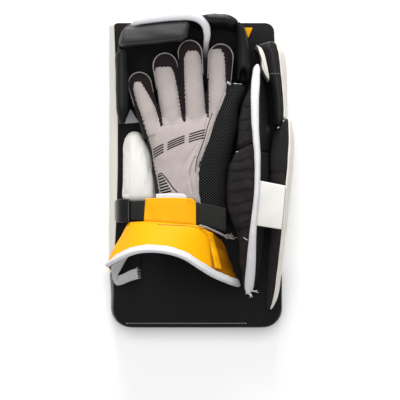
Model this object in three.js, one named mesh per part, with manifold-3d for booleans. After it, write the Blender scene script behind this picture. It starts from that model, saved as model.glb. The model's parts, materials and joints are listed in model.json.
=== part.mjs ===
// An ice hockey goalkeeper's blocker for the right hand, lying on the flat front face of its board.
// Millimetres. X runs from the little-finger side to the thumb side, Y from the elbow end to the
// fingertips, Z from the board's front face up to the palm. The origin is on the board's front face.
import * as THREE from 'three';
import { mergeVertices } from 'three/addons/utils/BufferGeometryUtils.js';
import Module from 'manifold-3d';

const { lerp } = THREE.MathUtils;
const wasm = await Module();
wasm.setup();

// Driving dimensions
const boardWidth = 203.2; // the widest board that the game allows, 8 in
const elbowEnd = -181; // the board's two ends along Y
const fingerEnd = 177;
const boardLength = fingerEnd - elbowEnd;
const boardThickness = 28;
const skinThickness = 1.7; // leather wrap round the board's lower end
const coverThickness = 2;
const coverGap = 0.4;
const seamGap = 0.4; // clear space between neighbouring pieces
const gloveWall = 1.8;
const guardBase = boardThickness + coverGap + coverThickness + seamGap; // where things stand on the cover
const liftStart = 95; // the fingertip end of the board curves up from here
const liftSpan = 86; // and has risen by the lift height after this length
const liftHeight = 9;

const colours = {
  white: 0xe9e5dd, black: 0x262427, leather: 0x2e2e30, palm: 0xbdb0ad, mesh: 0x1b1c1b,
  nylon: 0x302c2e, yellow: 0xfcbf12, binding: 0xeeecf2, webbing: 0x232426,
};

// Small tools for curves through a table's rows

// A smooth curve through the rows of a table that never overshoots: value against place.
function smooth(places, values) {
  const n = places.length;
  const slope = [];
  for (let i = 0; i < n - 1; i += 1) slope.push((values[i + 1] - values[i]) / (places[i + 1] - places[i]));
  const tangent = values.map((_, i) => {
    if (i === 0) return slope[0];
    if (i === n - 1) return slope[n - 2];
    if (slope[i - 1] * slope[i] <= 0) return 0;
    return (2 * slope[i - 1] * slope[i]) / (slope[i - 1] + slope[i]);
  });
  return (at) => {
    const x = Math.min(Math.max(at, places[0]), places[n - 1]);
    let i = 0;
    while (i < n - 2 && x > places[i + 1]) i += 1;
    const width = places[i + 1] - places[i];
    const t = (x - places[i]) / width;
    const a = 1 + 2 * t;
    const back = 1 - t;
    return a * back * back * values[i] + t * back * back * width * tangent[i]
      + t * t * (3 - 2 * t) * values[i + 1] - t * t * back * width * tangent[i + 1];
  };
}

// One smooth curve for each named column of a table, against its "by" column.
function columnsOf(rows, by) {
  const sorted = [...rows].sort((a, b) => a[by] - b[by]);
  const places = sorted.map((row) => row[by]);
  const curves = {};
  for (const key of Object.keys(rows[0])) {
    if (key !== by) curves[key] = smooth(places, sorted.map((row) => row[key]));
  }
  return curves;
}

function steps(from, to, count) {
  return Array.from({ length: count + 1 }, (_, i) => from + ((to - from) * i) / count);
}

// A smooth curve through [x, y, z] rows.
function curveThrough(rows) {
  return new THREE.CatmullRomCurve3(rows.map((row) => new THREE.Vector3(...row)), false, 'centripetal');
}

// Points spread evenly by number along such a curve.
function pathThrough(rows, count) {
  return curveThrough(rows).getPoints(count);
}

// Small tools for closed meshes

function signedVolume(points, triangles) {
  let sum = 0;
  for (let i = 0; i < triangles.length; i += 3) {
    const [a, b, c] = [points[triangles[i]], points[triangles[i + 1]], points[triangles[i + 2]]];
    sum += a.dot(new THREE.Vector3().crossVectors(b, c));
  }
  return sum;
}

function closedGeometry(points, triangles) {
  if (signedVolume(points, triangles) < 0) triangles.reverse();
  const geometry = new THREE.BufferGeometry();
  const flat = new Float32Array(points.length * 3);
  points.forEach((p, i) => p.toArray(flat, i * 3));
  geometry.setAttribute('position', new THREE.BufferAttribute(flat, 3));
  geometry.setIndex(triangles);
  return geometry;
}

// A solid through rings of equally many points. A hollow profile names the flat shape of its end.
function loft(rings, profile = null) {
  const count = rings[0].length;
  const points = rings.flat();
  const triangles = [];
  for (let r = 0; r < rings.length - 1; r += 1) {
    for (let i = 0; i < count; i += 1) {
      const a = r * count + i;
      const b = r * count + ((i + 1) % count);
      triangles.push(a, b, b + count, a, b + count, a + count);
    }
  }
  const ends = profile
    ? THREE.ShapeUtils.triangulateShape(profile, [])
    : steps(1, count - 2, count - 3).map((i) => [0, i, i + 1]);
  const turned = profile ? THREE.ShapeUtils.area(profile) < 0 : false;
  const last = (rings.length - 1) * count;
  for (const [a, b, c] of ends) {
    if (turned) {
      triangles.push(a, b, c, last + c, last + b, last + a);
    } else {
      triangles.push(c, b, a, last + a, last + b, last + c);
    }
  }
  return closedGeometry(points, triangles);
}

// A wall of even thickness behind a surface, given as point(u, v) with u and v from 0 to 1.
function wall(point, uSteps, vSteps, thickness, offset = 0) {
  const outer = [];
  const inner = [];
  const small = 1e-3;
  for (let i = 0; i <= uSteps; i += 1) {
    for (let j = 0; j <= vSteps; j += 1) {
      const u = i / uSteps;
      const v = j / vSteps;
      const alongU = point(Math.min(u + small, 1), v).sub(point(Math.max(u - small, 0), v));
      const alongV = point(u, Math.min(v + small, 1)).sub(point(u, Math.max(v - small, 0)));
      const normal = alongU.cross(alongV).normalize();
      const at = point(u, v);
      outer.push(at.clone().addScaledVector(normal, offset));
      inner.push(at.clone().addScaledVector(normal, offset - thickness));
    }
  }
  const width = vSteps + 1;
  const half = outer.length;
  const triangles = [];
  const quad = (a, b, c, d) => triangles.push(a, b, c, a, c, d);
  for (let i = 0; i < uSteps; i += 1) {
    for (let j = 0; j < vSteps; j += 1) {
      const a = i * width + j;
      quad(a, a + width, a + width + 1, a + 1);
      quad(half + a, half + a + 1, half + a + width + 1, half + a + width);
    }
    const low = i * width;
    const high = low + vSteps;
    quad(low, half + low, half + low + width, low + width);
    quad(high, high + width, half + high + width, half + high);
  }
  for (let j = 0; j < vSteps; j += 1) {
    const far = uSteps * width + j;
    quad(j, j + 1, half + j + 1, half + j);
    quad(far, half + far, half + far + 1, far + 1);
  }
  return closedGeometry([...outer, ...inner], triangles);
}

// A flat prism from a plan outline, between two heights.
function prism(outline, low, high) {
  const shape = new THREE.Shape(outline.map(([x, y]) => new THREE.Vector2(x, y)));
  return new THREE.ExtrudeGeometry(shape, { depth: high - low, bevelEnabled: false }).translate(0, 0, low);
}

// The outline moved outwards by a distance, for a cut that leaves a gap.
function grown(outline, distance) {
  const area = THREE.ShapeUtils.area(outline.map(([x, y]) => new THREE.Vector2(x, y)));
  const side = area > 0 ? 1 : -1;
  return outline.map(([x, y], i) => {
    const before = outline[(i + outline.length - 1) % outline.length];
    const after = outline[(i + 1) % outline.length];
    const normal = new THREE.Vector2(after[1] - before[1], before[0] - after[0]).normalize();
    return [x + side * distance * normal.x, y + side * distance * normal.y];
  });
}

function solid(geometry) {
  const bare = geometry.index ? geometry.toNonIndexed() : geometry.clone();
  bare.deleteAttribute('normal');
  bare.deleteAttribute('uv');
  const merged = mergeVertices(bare, 1e-4);
  return new wasm.Manifold(new wasm.Mesh({
    numProp: 3,
    vertProperties: merged.attributes.position.array,
    triVerts: new Uint32Array(merged.index.array),
  }));
}

function geometryOf(manifold) {
  const mesh = manifold.getMesh();
  const geometry = new THREE.BufferGeometry();
  geometry.setAttribute('position', new THREE.BufferAttribute(new Float32Array(mesh.vertProperties), 3));
  geometry.setIndex(new THREE.BufferAttribute(new Uint32Array(mesh.triVerts), 1));
  return geometry;
}

function block(low, high) {
  const size = high.map((value, i) => value - low[i]);
  const middle = high.map((value, i) => (value + low[i]) / 2);
  return solid(new THREE.BoxGeometry(...size).translate(...middle));
}

// A rounded ring in a plane square to Y: power 2 is an ellipse, larger is squarer.
function roundRing(y, left, right, low, high, count, power = 2.6) {
  return steps(0, count - 1, count - 1).map((i) => {
    const angle = (2 * Math.PI * i) / count;
    const reach = (value) => Math.sign(value) * Math.abs(value) ** (2 / power);
    return new THREE.Vector3(
      (left + right) / 2 + ((right - left) / 2) * reach(Math.cos(angle)),
      y,
      (low + high) / 2 + ((high - low) / 2) * reach(Math.sin(angle)),
    );
  });
}

// The whole part follows the board's curve, so every point rises with its place along Y.
function lift(y) {
  const share = Math.max(0, (y - liftStart) / liftSpan);
  return liftHeight * share * share;
}

const blocker = new THREE.Group();

function addPiece(name, geometry, colour, roughness = 0.6) {
  const bent = geometry.clone();
  const place = bent.attributes.position;
  for (let i = 0; i < place.count; i += 1) place.setZ(i, place.getZ(i) + lift(place.getY(i)));
  bent.deleteAttribute('uv');
  bent.computeVertexNormals();
  const material = new THREE.MeshStandardMaterial({ color: colour, roughness, metalness: 0 });
  const mesh = new THREE.Mesh(bent, material);
  mesh.name = name;
  blocker.add(mesh);
}

// The board: a foam slab in leather, its long edge on the little-finger side sloped

const boardCorners = { elbow: 25, little: 4, thumb: 10 }; // plan radii
const thumbTaper = { start: -60, reach: 11.6 }; // the thumb edge runs in by the reach from there on
const slopeInset = columnsOf([
  { y: -181, inset: 3 }, { y: -129, inset: 4 }, { y: -76, inset: 7 },
  { y: -30, inset: 9.5 }, { y: 57, inset: 9.5 }, { y: 133, inset: 7 }, { y: 177, inset: 5.6 },
], 'y').inset;
const boardStations = [
  -181, -180, -177, -172, -165, -156, -115, -60, 0, 60, 95, 112, 128, 142, 153, 163, 169, 173, 175.8, 177,
];

function cornerInset(y, radius, end) {
  const into = Math.max(0, radius - Math.abs(end - y));
  return radius - Math.sqrt(Math.max(0, radius * radius - into * into));
}

function boardSides(y) {
  const end = y < 0 ? elbowEnd : fingerEnd;
  const taper = (thumbTaper.reach * (y - thumbTaper.start)) / (fingerEnd - thumbTaper.start);
  return {
    left: -boardWidth / 2 + cornerInset(y, y < 0 ? boardCorners.elbow : boardCorners.little, end),
    right: boardWidth / 2 - Math.max(0, taper)
      - cornerInset(y, y < 0 ? boardCorners.elbow : boardCorners.thumb, end),
  };
}

function boardRing(y, inset) {
  const { left, right } = boardSides(y);
  const slope = slopeInset(y);
  const nearSpan = 1 - inset / (boardLength / 2);
  const corners = [
    [left + 2.5, 0], [left, 4], [left, 13],
    [left + slope, boardThickness - 1.5], [left + slope + 2, boardThickness],
    [right - 3, boardThickness], [right - 1, boardThickness - 3], [right, 20], [right, 4], [right - 2.5, 0],
  ];
  const middle = (left + right) / 2;
  const widthShare = 1 - (2 * inset) / (right - left);
  const depthShare = 1 - (2 * inset) / boardThickness;
  return corners.map(([x, z]) => new THREE.Vector3(
    middle + (x - middle) * widthShare,
    y * nearSpan,
    boardThickness / 2 + (z - boardThickness / 2) * depthShare,
  ));
}

const wrapSeam = -115; // where the black wrap of the elbow end stops

function addBoard() {
  const slab = solid(loft(boardStations.map((y) => boardRing(y, 0))));
  const core = solid(loft(boardStations.map((y) => boardRing(y, skinThickness + seamGap))));
  const hollow = solid(loft(boardStations.map((y) => boardRing(y, skinThickness))));
  const far = 400;
  const upper = block([-far, wrapSeam, -far], [far, far, far]);
  const lower = block([-far, -far, -far], [far, wrapSeam + 1, far]);
  addPiece('board', geometryOf(slab.intersect(upper).add(core.intersect(lower))), colours.white);
  const wrapEnd = block([-far, -far, -far], [far, wrapSeam - seamGap, far]);
  addPiece('board_elbow_wrap', geometryOf(slab.intersect(wrapEnd).subtract(hollow)), colours.black);
}

// The black back cover stops short of the sloped edge, which stays white
function addBackCover() {
  const low = boardThickness + coverGap;
  const edge = 1.5;
  const rings = boardStations.map((y) => {
    const { left, right } = boardSides(y);
    const [x0, x1] = [left + slopeInset(y) + 1, right - edge];
    return [[x0, low], [x1, low], [x1, low + coverThickness], [x0, low + coverThickness]]
      .map(([x, z]) => new THREE.Vector3(x, y * (1 - edge / (boardLength / 2)), z));
  });
  addPiece('board_back_cover', loft(rings), colours.black);
  const inlay = [[54.8, 170], [64.1, 170], [58.9, 157.8]];
  addPiece('board_inlay', prism(inlay, guardBase, guardBase + 0.8), colours.yellow);
}

// The glove: a hollow hand shape, open at the wrist, in a palm, a thumb sleeve and a back

const palmRows = [
  { y: -62, left: -46, right: 34, low: guardBase, high: 70 },
  { y: -36, left: -46, right: 34, low: guardBase, high: 74 },
  { y: -7, left: -48.5, right: 35, low: guardBase, high: 76 },
  { y: 27, left: -54.5, right: 36, low: guardBase, high: 75.5 },
  { y: 46, left: -60.5, right: 36, low: guardBase + 1, high: 74 },
  { y: 60, left: -62, right: 35, low: guardBase + 5, high: 70 },
  { y: 67, left: -58, right: 32, low: guardBase + 12, high: 64 },
];
const fingerRows = [
  { name: 'little', root: [-50.5, 44], tip: [-67.2, 116.5], width: [24, 24.5] },
  { name: 'ring', root: [-26.5, 46], tip: [-37.8, 139.5], width: [25, 26] },
  { name: 'middle', root: [-1.5, 48], tip: [-8.4, 153.5], width: [24.5, 26] },
  { name: 'index', root: [22, 50], tip: [27.8, 149], width: [24, 24.6] },
];
const fingerDepth = { root: 36, tip: 23 };
const fingerHeight = { root: 53, tip: 57 }; // the middle of the finger, above the board's face
const thumbRows = [
  { x: 19, y: -62, z: 49, width: 33, depth: 35 },
  { x: 19, y: -36, z: 51.5, width: 33, depth: 40 },
  { x: 19, y: -7, z: 55.5, width: 33, depth: 43 },
  { x: 22.5, y: 22, z: 58, width: 34, depth: 43 },
  { x: 30, y: 50, z: 60, width: 30, depth: 38 },
  { x: 37.5, y: 79, z: 61, width: 22, depth: 32 },
  { x: 43.5, y: 92, z: 61, width: 22, depth: 28 },
  { x: 45.8, y: 99, z: 61, width: 19, depth: 23 },
  { x: 46.2, y: 103.5, z: 61, width: 12, depth: 14 },
];

function palmSolid(inset, pastWrist) {
  const curves = columnsOf(palmRows, 'y');
  const [first, last] = [palmRows[0].y - pastWrist, palmRows[palmRows.length - 1].y - inset];
  return solid(loft(steps(first, last, 6).map((y) => roundRing(
    y, curves.left(y) + inset, curves.right(y) - inset, curves.low(y) + inset, curves.high(y) - inset, 20,
  ))));
}

function fingerSolid({ root, tip, width }, inset) {
  const axis = new THREE.Vector2(tip[0] - root[0], tip[1] - root[1]);
  const length = axis.length() - inset;
  axis.normalize();
  const roundStart = width[1] * 0.55;
  const straight = inset ? [0] : [0, 0.5];
  const rounded = inset ? [0, 0.6, 0.95] : [0, 0.4, 0.75, 0.97];
  const stations = straight.map((share) => share * (length - roundStart))
    .concat(rounded.map((share) => length - roundStart + share * roundStart));
  return solid(loft(stations.map((along) => {
    const share = along / length;
    const intoTip = Math.max(0, (along - length + roundStart) / roundStart);
    const close = Math.sqrt(1 - intoTip * intoTip);
    const halfWidth = (lerp(width[0], width[1], share) / 2 - inset) * close;
    const halfDepth = (lerp(fingerDepth.root, fingerDepth.tip, share) / 2 - inset) * close;
    const height = lerp(fingerHeight.root, fingerHeight.tip, share);
    const ring = roundRing(0, -halfWidth, halfWidth, -halfDepth, halfDepth, inset ? 8 : 12, 2.4);
    return ring.map((p) => new THREE.Vector3(
      root[0] + axis.x * along + axis.y * p.x,
      root[1] + axis.y * along - axis.x * p.x,
      height + p.z,
    ));
  })));
}

function thumbSolid(inset, pastWrist) {
  const curves = columnsOf(thumbRows, 'y');
  const [first, last] = [thumbRows[0].y - pastWrist, thumbRows[thumbRows.length - 1].y - inset];
  const stations = steps(first, 82, 5).concat([92, 99, last]);
  return solid(loft(stations.map((y) => {
    const halfWidth = Math.max(1.5, curves.width(y) / 2 - inset);
    const halfDepth = Math.max(1.5, curves.depth(y) / 2 - inset);
    const x = curves.x(y);
    const z = curves.z(y);
    return roundRing(y, x - halfWidth, x + halfWidth, z - halfDepth, z + halfDepth, inset ? 10 : 14, 2.4);
  })));
}

function handSolid(inset, pastWrist) {
  return fingerRows.reduce(
    (hand, row) => hand.add(fingerSolid(row, inset)),
    palmSolid(inset, pastWrist).add(thumbSolid(inset, pastWrist)),
  );
}

// The seam from the thumb's tip down to the wrist, between the palm and the mesh thumb sleeve
const thumbSeam = [
  [36, 103], [31.4, 92.8], [26.9, 80.3], [20, 66.7], [14.4, 51.9], [8.7, 32.6], [4.1, 20.1],
  [2.4, 9.9], [0.7, -7.2], [1.3, -20.8], [4.1, -34.4], [5.5, -80],
];
// The palm leather's outline: up the little-finger edge, round each finger strip, back along the seam
const palmEdge = [
  [-43.5, -80], [-43.5, -47], [-43.3, -23], [-46, -7], [-49.7, 10], [-52, 27], [-55.4, 38.6], [-59.4, 52],
  [-64, 67], [-70.4, 84.3], [-73.2, 97], [-71.8, 104.8], [-64.8, 105], [-60.5, 98], [-54.8, 88.8],
  [-48.4, 76.3], [-44.4, 63.7], [-42.3, 54],
  [-39.2, 54], [-40, 66], [-42.6, 80], [-45, 96], [-46.6, 115], [-44.6, 122.6], [-32.6, 123.2], [-29.2, 117],
  [-24.8, 101.4], [-21.8, 84.3], [-18.9, 70.6], [-16.4, 59],
  [-13.2, 59], [-12.8, 72], [-13.2, 88], [-15, 112.8], [-15.2, 132.2], [-12.4, 139.8], [-1.6, 140.2],
  [1.7, 134], [4.9, 120.8], [7.2, 104.8], [9.2, 90], [10.6, 75], [11.2, 64],
  [13.6, 64], [14.4, 78], [15.6, 96], [16.4, 118.5], [16.8, 136], [18.6, 142.6], [25.4, 143.2], [30, 137.9],
  [32, 123], [32, 107], [33.6, 100],
];

function addGlove() {
  const shell = handSolid(0, 0).subtract(handSolid(gloveWall, 6));
  const palmFloor = 60; // the palm leather lies above this height, on the side that grips
  const thumbFloor = 44;
  const seamInside = thumbSeam.slice(1).map(([x, y]) => [x - seamGap, y]);
  const palmOutline = [...palmEdge, ...seamInside];
  const sleeveOutline = [...thumbSeam, [90, -80], [90, 108], [38, 108]];
  const palm = shell.intersect(solid(prism(palmOutline, palmFloor, 110)));
  const sleeve = shell.intersect(solid(prism(sleeveOutline, thumbFloor, 110)));
  const back = shell
    .subtract(solid(prism(grown(palmOutline, seamGap), palmFloor - seamGap, 110)))
    .subtract(solid(prism(grown(sleeveOutline, seamGap), thumbFloor - seamGap, 110)));
  addPiece('glove_palm', geometryOf(palm), colours.palm, 0.9);
  addPiece('glove_thumb_sleeve', geometryOf(sleeve), colours.mesh, 0.9);
  addPiece('glove_back', geometryOf(back), colours.black, 0.8);
}

// Sweeps a flat profile along a path that runs level: profile x is square to the path, y is up.
function levelSweep(path, profile, profileAt = () => profile) {
  const rings = path.map((p, i) => {
    const before = path[Math.max(0, i - 1)];
    const after = path[Math.min(path.length - 1, i + 1)];
    const side = new THREE.Vector2(after.y - before.y, before.x - after.x).normalize();
    return profileAt(i / (path.length - 1)).map(({ x, y }) => (
      new THREE.Vector3(p.x + side.x * x, p.y + side.y * x, p.z + y)));
  });
  return loft(rings, profile);
}

// A folded tape over a wall's edge: a channel with its mouth down, round on top.
function tapeProfile(width, height, slot, fold = 1.2) {
  const [w, s] = [width / 2, slot / 2];
  return [
    [w * 0.92, -height], [w, -height * 0.5], [w * 0.94, -height * 0.2], [w * 0.6, 0.3], [0, 0.9],
    [-w * 0.6, 0.3], [-w * 0.94, -height * 0.2], [-w, -height * 0.5], [-w * 0.92, -height],
    [-s, -height], [-s, -fold], [s, -fold], [s, -height],
  ].map(([x, y]) => new THREE.Vector2(x, y));
}

// The guard round three fingers: a padded wall on the board, two rolls and a white edge

const fingerGuardRows = [ // x and y of the wall's middle, and its top
  [-90.2, 58, 49], [-90.4, 85, 50], [-90.2, 120, 50], [-89.5, 146, 50], [-86.5, 159, 55], [-80, 166.6, 66],
  [-70, 170, 83], [-53, 172.6, 86], [-30, 175, 87], [-10, 175.8, 87], [0.5, 173.2, 86], [7.5, 167.4, 83],
  [10.6, 158, 77], [10.6, 147, 66], [10.2, 137, 55], [10, 127, 46], [10, 115, 40], [10, 103, 36],
];
const guardWallThickness = 4;
const guardLean = { reach: 3.5, from: 158, to: 172 }; // past the fingertips the guards stand in and lean out
const guardTape = { width: 7.4, height: 8, slot: 5.2, fromX: -80, endY: 112 };

function addFingerGuard() {
  const line = pathThrough(fingerGuardRows, 28);
  const half = guardWallThickness / 2;
  const square = [[half, 0], [half, 1], [-half, 1], [-half, 0]].map(([x, y]) => new THREE.Vector2(x, y));
  const rings = line.map((p, i) => {
    const before = line[Math.max(0, i - 1)];
    const after = line[Math.min(line.length - 1, i + 1)];
    const side = new THREE.Vector2(after.y - before.y, before.x - after.x).normalize();
    const top = Math.max(guardBase + 3, p.z - 2);
    const lean = guardLean.reach * THREE.MathUtils.smoothstep(p.y, guardLean.from, guardLean.to);
    return square.map(({ x, y }) => new THREE.Vector3(
      p.x + side.x * x, p.y + side.y * x - lean * (1 - y), guardBase + (top - guardBase) * y,
    ));
  });
  addPiece('finger_guard_wall', loft(rings), colours.leather, 0.45);
  const edge = line.filter((p) => p.x > guardTape.fromX && !(p.x > 5 && p.y < guardTape.endY));
  const { width, height, slot } = guardTape;
  addPiece('finger_guard_tape', levelSweep(edge, tapeProfile(width, height, slot)), colours.binding);
}

// A padded roll along a path, rounded off at both ends.
function roll(path, halfWidth, halfHeight, count = 14, endLength = 0.08) {
  const profile = roundRing(0, -1, 1, -1, 1, count, 2.2).map((p) => new THREE.Vector2(p.x, p.z));
  const last = path.length - 1;
  const rings = path.map((p, i) => {
    const before = path[Math.max(0, i - 1)];
    const after = path[Math.min(last, i + 1)];
    const side = new THREE.Vector2(after.y - before.y, before.x - after.x).normalize();
    const share = i / last;
    const fromEnd = Math.min(share, 1 - share) / endLength;
    const close = fromEnd >= 1 ? 1 : 0.62 + 0.38 * Math.sqrt(1 - (1 - fromEnd) ** 2);
    const [wide, high] = [halfWidth * close, halfHeight * close];
    return profile.map(({ x, y }) => new THREE.Vector3(
      p.x + side.x * x * wide, p.y + side.y * x * wide, p.z + y * high,
    ));
  });
  return loft(rings);
}

function addGuardRolls() {
  const topLine = pathThrough([[-87, 152.4, 74], [-60, 156, 74.6], [-30, 159.4, 75.8], [-7, 160.6, 76]], 13);
  addPiece('finger_guard_top_roll', roll(topLine, 11.2, 11.2, 14), colours.leather, 0.4);
  const sideLine = pathThrough([[-86.4, 141, 64], [-86.2, 110, 64], [-86, 80, 64], [-86, 57, 60]], 12);
  addPiece('finger_guard_side_roll', roll(sideLine, 7.5, 12.5, 12), colours.leather, 0.4);
  const gusset = [[-78.5, 77], [-85, 58.5], [-67.5, 60.5]];
  addPiece('finger_guard_gusset', prism(gusset, guardBase, guardBase + 4), colours.binding);
}

// The guard round the index finger: one padded wall past the tip and one beside it

function addIndexGuard() {
  const topLine = pathThrough([
    [5.8, 177.2, 0], [13, 176, 0], [21, 175.6, 0], [32, 175, 0], [39.5, 172.8, 0], [44.4, 170.2, 0],
  ], 12);
  const sideLine = pathThrough([[47.6, 163.5, 0], [49, 148, 0], [51, 130, 0], [51.5, 112, 0]], 13);
  // The section of a padded wall: straight sides, round on top, its foot set in where the wall leans
  const section = (halfWidth, top, lean = 0) => [
    [halfWidth * 0.8, guardBase], [halfWidth, guardBase + 12], [halfWidth, top - 9],
    [halfWidth * 0.75, top - 3], [halfWidth * 0.3, top], [-halfWidth * 0.3, top], [-halfWidth * 0.75, top - 3],
    [-halfWidth, top - 9], [-halfWidth, guardBase + 12], [-halfWidth * 0.8, guardBase],
  ].map(([x, y]) => new THREE.Vector2(x + (lean * (top - y)) / (top - guardBase), y));
  const topTable = smooth([0, 0.2, 0.7, 1], [82, 87, 86.5, 84]);
  const topWidths = smooth([0, 0.2, 0.4, 0.8, 1], [2.2, 4.6, 5.6, 5.4, 4.4]);
  const topSection = (share) => section(topWidths(share), topTable(share), guardLean.reach);
  addPiece('index_guard_top', levelSweep(topLine, section(5, 86), topSection), colours.leather, 0.4);
  const widths = smooth([0, 0.4, 0.8, 1], [4.6, 6.4, 7.2, 6.6]);
  const tops = smooth([0, 0.3, 0.75, 1], [85, 82, 79, 74]);
  const sideSection = (share) => section(widths(share), tops(share));
  addPiece('index_guard_side', levelSweep(sideLine, section(5, 80), sideSection), colours.leather, 0.4);
}

// The thumb wall: a padded nylon side towards the hand, a leather side away from it, a white edge

const thumbWallRows = [
  // y, ridge x and height, foot of the inner pad, foot of the outer panel
  { y: -136, ridge: 58.8, top: 56, inner: 54, outer: 66 },
  { y: -127, ridge: 59.6, top: 64, inner: 52.8, outer: 73 },
  { y: -109, ridge: 60.8, top: 77, inner: 48.6, outer: 80 },
  { y: -86, ridge: 61.6, top: 89, inner: 44.2, outer: 83.5 },
  { y: -63, ridge: 62.8, top: 97, inner: 40.5, outer: 85.2 },
  { y: -41, ridge: 64.6, top: 101, inner: 37.4, outer: 86 },
  { y: -19, ridge: 66.8, top: 103.5, inner: 37, outer: 86.5 },
  { y: 4, ridge: 67.2, top: 104, inner: 38, outer: 86.6 },
  { y: 20, ridge: 66.8, top: 104, inner: 41.5, outer: 86.6 },
  { y: 37, ridge: 64.9, top: 103, inner: 46.8, outer: 86.2 },
  { y: 60, ridge: 64.2, top: 100, inner: 48.5, outer: 84.4 },
  { y: 82, ridge: 64.6, top: 96, inner: 52.5, outer: 83 },
  { y: 91, ridge: 65, top: 93, inner: 57, outer: 81.5 },
  { y: 99, ridge: 65.6, top: 90, inner: 60, outer: 79.5 },
  { y: 111, ridge: 66.3, top: 84, inner: 62.4, outer: 73.5 },
  { y: 123.6, ridge: 66.6, top: 75.6, inner: 63, outer: 70.2 },
];
const wallTape = { width: 8.6, height: 9, slot: 5.4 };
const nylonSeam = 28; // the inner pad is sewn in two lobes that meet here
const padShort = 16.5; // the pad and the panel stop this far from the tape's fingertip end
const panelShort = 8.5;

function thumbWallSection(y, side) {
  const row = thumbWallCurves(y);
  const edge = wallTape.slot / 2 - 0.3;
  const reach = side < 0 ? row.ridge - row.inner : row.outer - row.ridge;
  const rise = row.top - guardBase;
  const wide = Math.max(reach, edge + 0.4);
  const fold = row.top - wallTape.height - 1;
  const up = (share) => Math.min(guardBase + rise * share, fold - 2 * (1 - share));
  const outline = side < 0
    ? [[wide * 0.8, guardBase], [wide, up(0.14)], [wide, up(0.34)], [wide * 0.86, up(0.56)],
      [lerp(edge, wide, 0.45), up(0.76)]]
    : [[wide, guardBase], [wide * 0.98, up(0.08)], [wide * 0.8, up(0.3)], [wide * 0.6, up(0.52)],
      [lerp(edge, wide, 0.3), up(0.74)]];
  const ridge = [[edge, fold], [edge, row.top - 1.6], [0.2, row.top - 1.6]];
  const section = [[0.2, guardBase], ...outline, ...ridge];
  return section.map(([out, z]) => new THREE.Vector3(row.ridge + side * out, y, z));
}

const thumbCurves = columnsOf(thumbWallRows, 'y');
function thumbWallCurves(y) {
  const { ridge, top, inner, outer } = thumbCurves;
  return { ridge: ridge(y), top: top(y), inner: inner(y), outer: outer(y) };
}

function thumbWallSolid(from, to, count, side) {
  const rings = steps(from, to, count).map((y) => thumbWallSection(y, side));
  return loft(rings, rings[0].map((p) => new THREE.Vector2(p.x, p.z)));
}

function addThumbWall() {
  const [first, last] = [thumbWallRows[0].y, thumbWallRows[thumbWallRows.length - 1].y];
  addPiece('thumb_pad_lower', thumbWallSolid(first, nylonSeam - 0.3, 14, -1), colours.nylon, 0.8);
  addPiece('thumb_pad_upper', thumbWallSolid(nylonSeam + 0.3, last - padShort, 8, -1), colours.nylon, 0.8);
  addPiece('thumb_wall_panel', thumbWallSolid(first, last - panelShort, 20, 1), colours.leather, 0.45);
  const places = steps(first - 2, last, 20);
  const ridge = places.map((y) => new THREE.Vector3(thumbCurves.ridge(y), y, thumbCurves.top(y)));
  const { width, height, slot } = wallTape;
  addPiece('thumb_wall_tape', levelSweep(ridge, tapeProfile(width, height, slot)), colours.binding);
  const leaf = [[66.8, 145], [73.2, 138.6], [77.4, 126], [81.4, 104], [76.8, 114], [73.2, 121], [72.4, 129]];
  addPiece('thumb_wall_leaf', prism(leaf, guardBase, 76), colours.white, 0.5);
}

// The outer wall on the thumb edge of the board: a block by the fingers, then a flared wing

const outerBlockRows = [
  { y: 62.5, inner: 84.5, outer: 96.6, top: 77, bulge: 104 },
  { y: 85, inner: 84, outer: 96.2, top: 77.5, bulge: 103.6 },
  { y: 104, inner: 83.6, outer: 95.4, top: 77.2, bulge: 103.6 },
  { y: 115, inner: 81.6, outer: 95, top: 77, bulge: 103.4 },
  { y: 126, inner: 79.6, outer: 94, top: 76, bulge: 102.8 },
  { y: 133, inner: 77.6, outer: 93.2, top: 75.4, bulge: 101.8 },
  { y: 138.6, inner: 75.4, outer: 92.2, top: 74.6, bulge: 100.8 },
  { y: 143, inner: 71.4, outer: 90.8, top: 73.4, bulge: 99 },
  { y: 146, inner: 71, outer: 89.4, top: 72, bulge: 96.8 },
  { y: 150, inner: 79, outer: 87, top: 69, bulge: 92.6 },
];
const wingRows = [
  // y, ridge x and height, foot of the lining, widest reach of the outer skin
  { y: -157, ridge: 83.5, top: 42, inner: 80, foot: 84.5, bulge: 88 },
  { y: -145, ridge: 86.5, top: 52, inner: 81, foot: 89, bulge: 94.5 },
  { y: -127, ridge: 88.6, top: 63, inner: 82.5, foot: 92, bulge: 98.5 },
  { y: -98, ridge: 91.8, top: 76, inner: 85, foot: 95, bulge: 101.5 },
  { y: -75, ridge: 93.6, top: 85, inner: 87, foot: 96.5, bulge: 103 },
  { y: -47, ridge: 96.4, top: 91, inner: 88, foot: 98, bulge: 105.8 },
  { y: -13, ridge: 99.2, top: 94, inner: 88.2, foot: 98.5, bulge: 108.6 },
  { y: 15, ridge: 101.4, top: 95, inner: 88.2, foot: 98.4, bulge: 110.4 },
  { y: 38, ridge: 102.4, top: 94, inner: 88, foot: 98, bulge: 109.8 },
  { y: 61.5, ridge: 102, top: 88, inner: 88, foot: 97, bulge: 106.5 },
];

// Lofts a table's rows with a section made from each row, against Y: at even places, or at the rows.
function tableLoft(rows, section, count = 0) {
  const curves = columnsOf(rows, 'y');
  const places = count ? steps(rows[0].y, rows[rows.length - 1].y, count) : rows.map((row) => row.y);
  const rings = places.map((y) => {
    const row = {};
    for (const key of Object.keys(curves)) row[key] = curves[key](y);
    return section(row).map(([x, z]) => new THREE.Vector3(x, y, z));
  });
  return loft(rings, rings[0].map((p) => new THREE.Vector2(p.x, p.z)));
}

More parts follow.
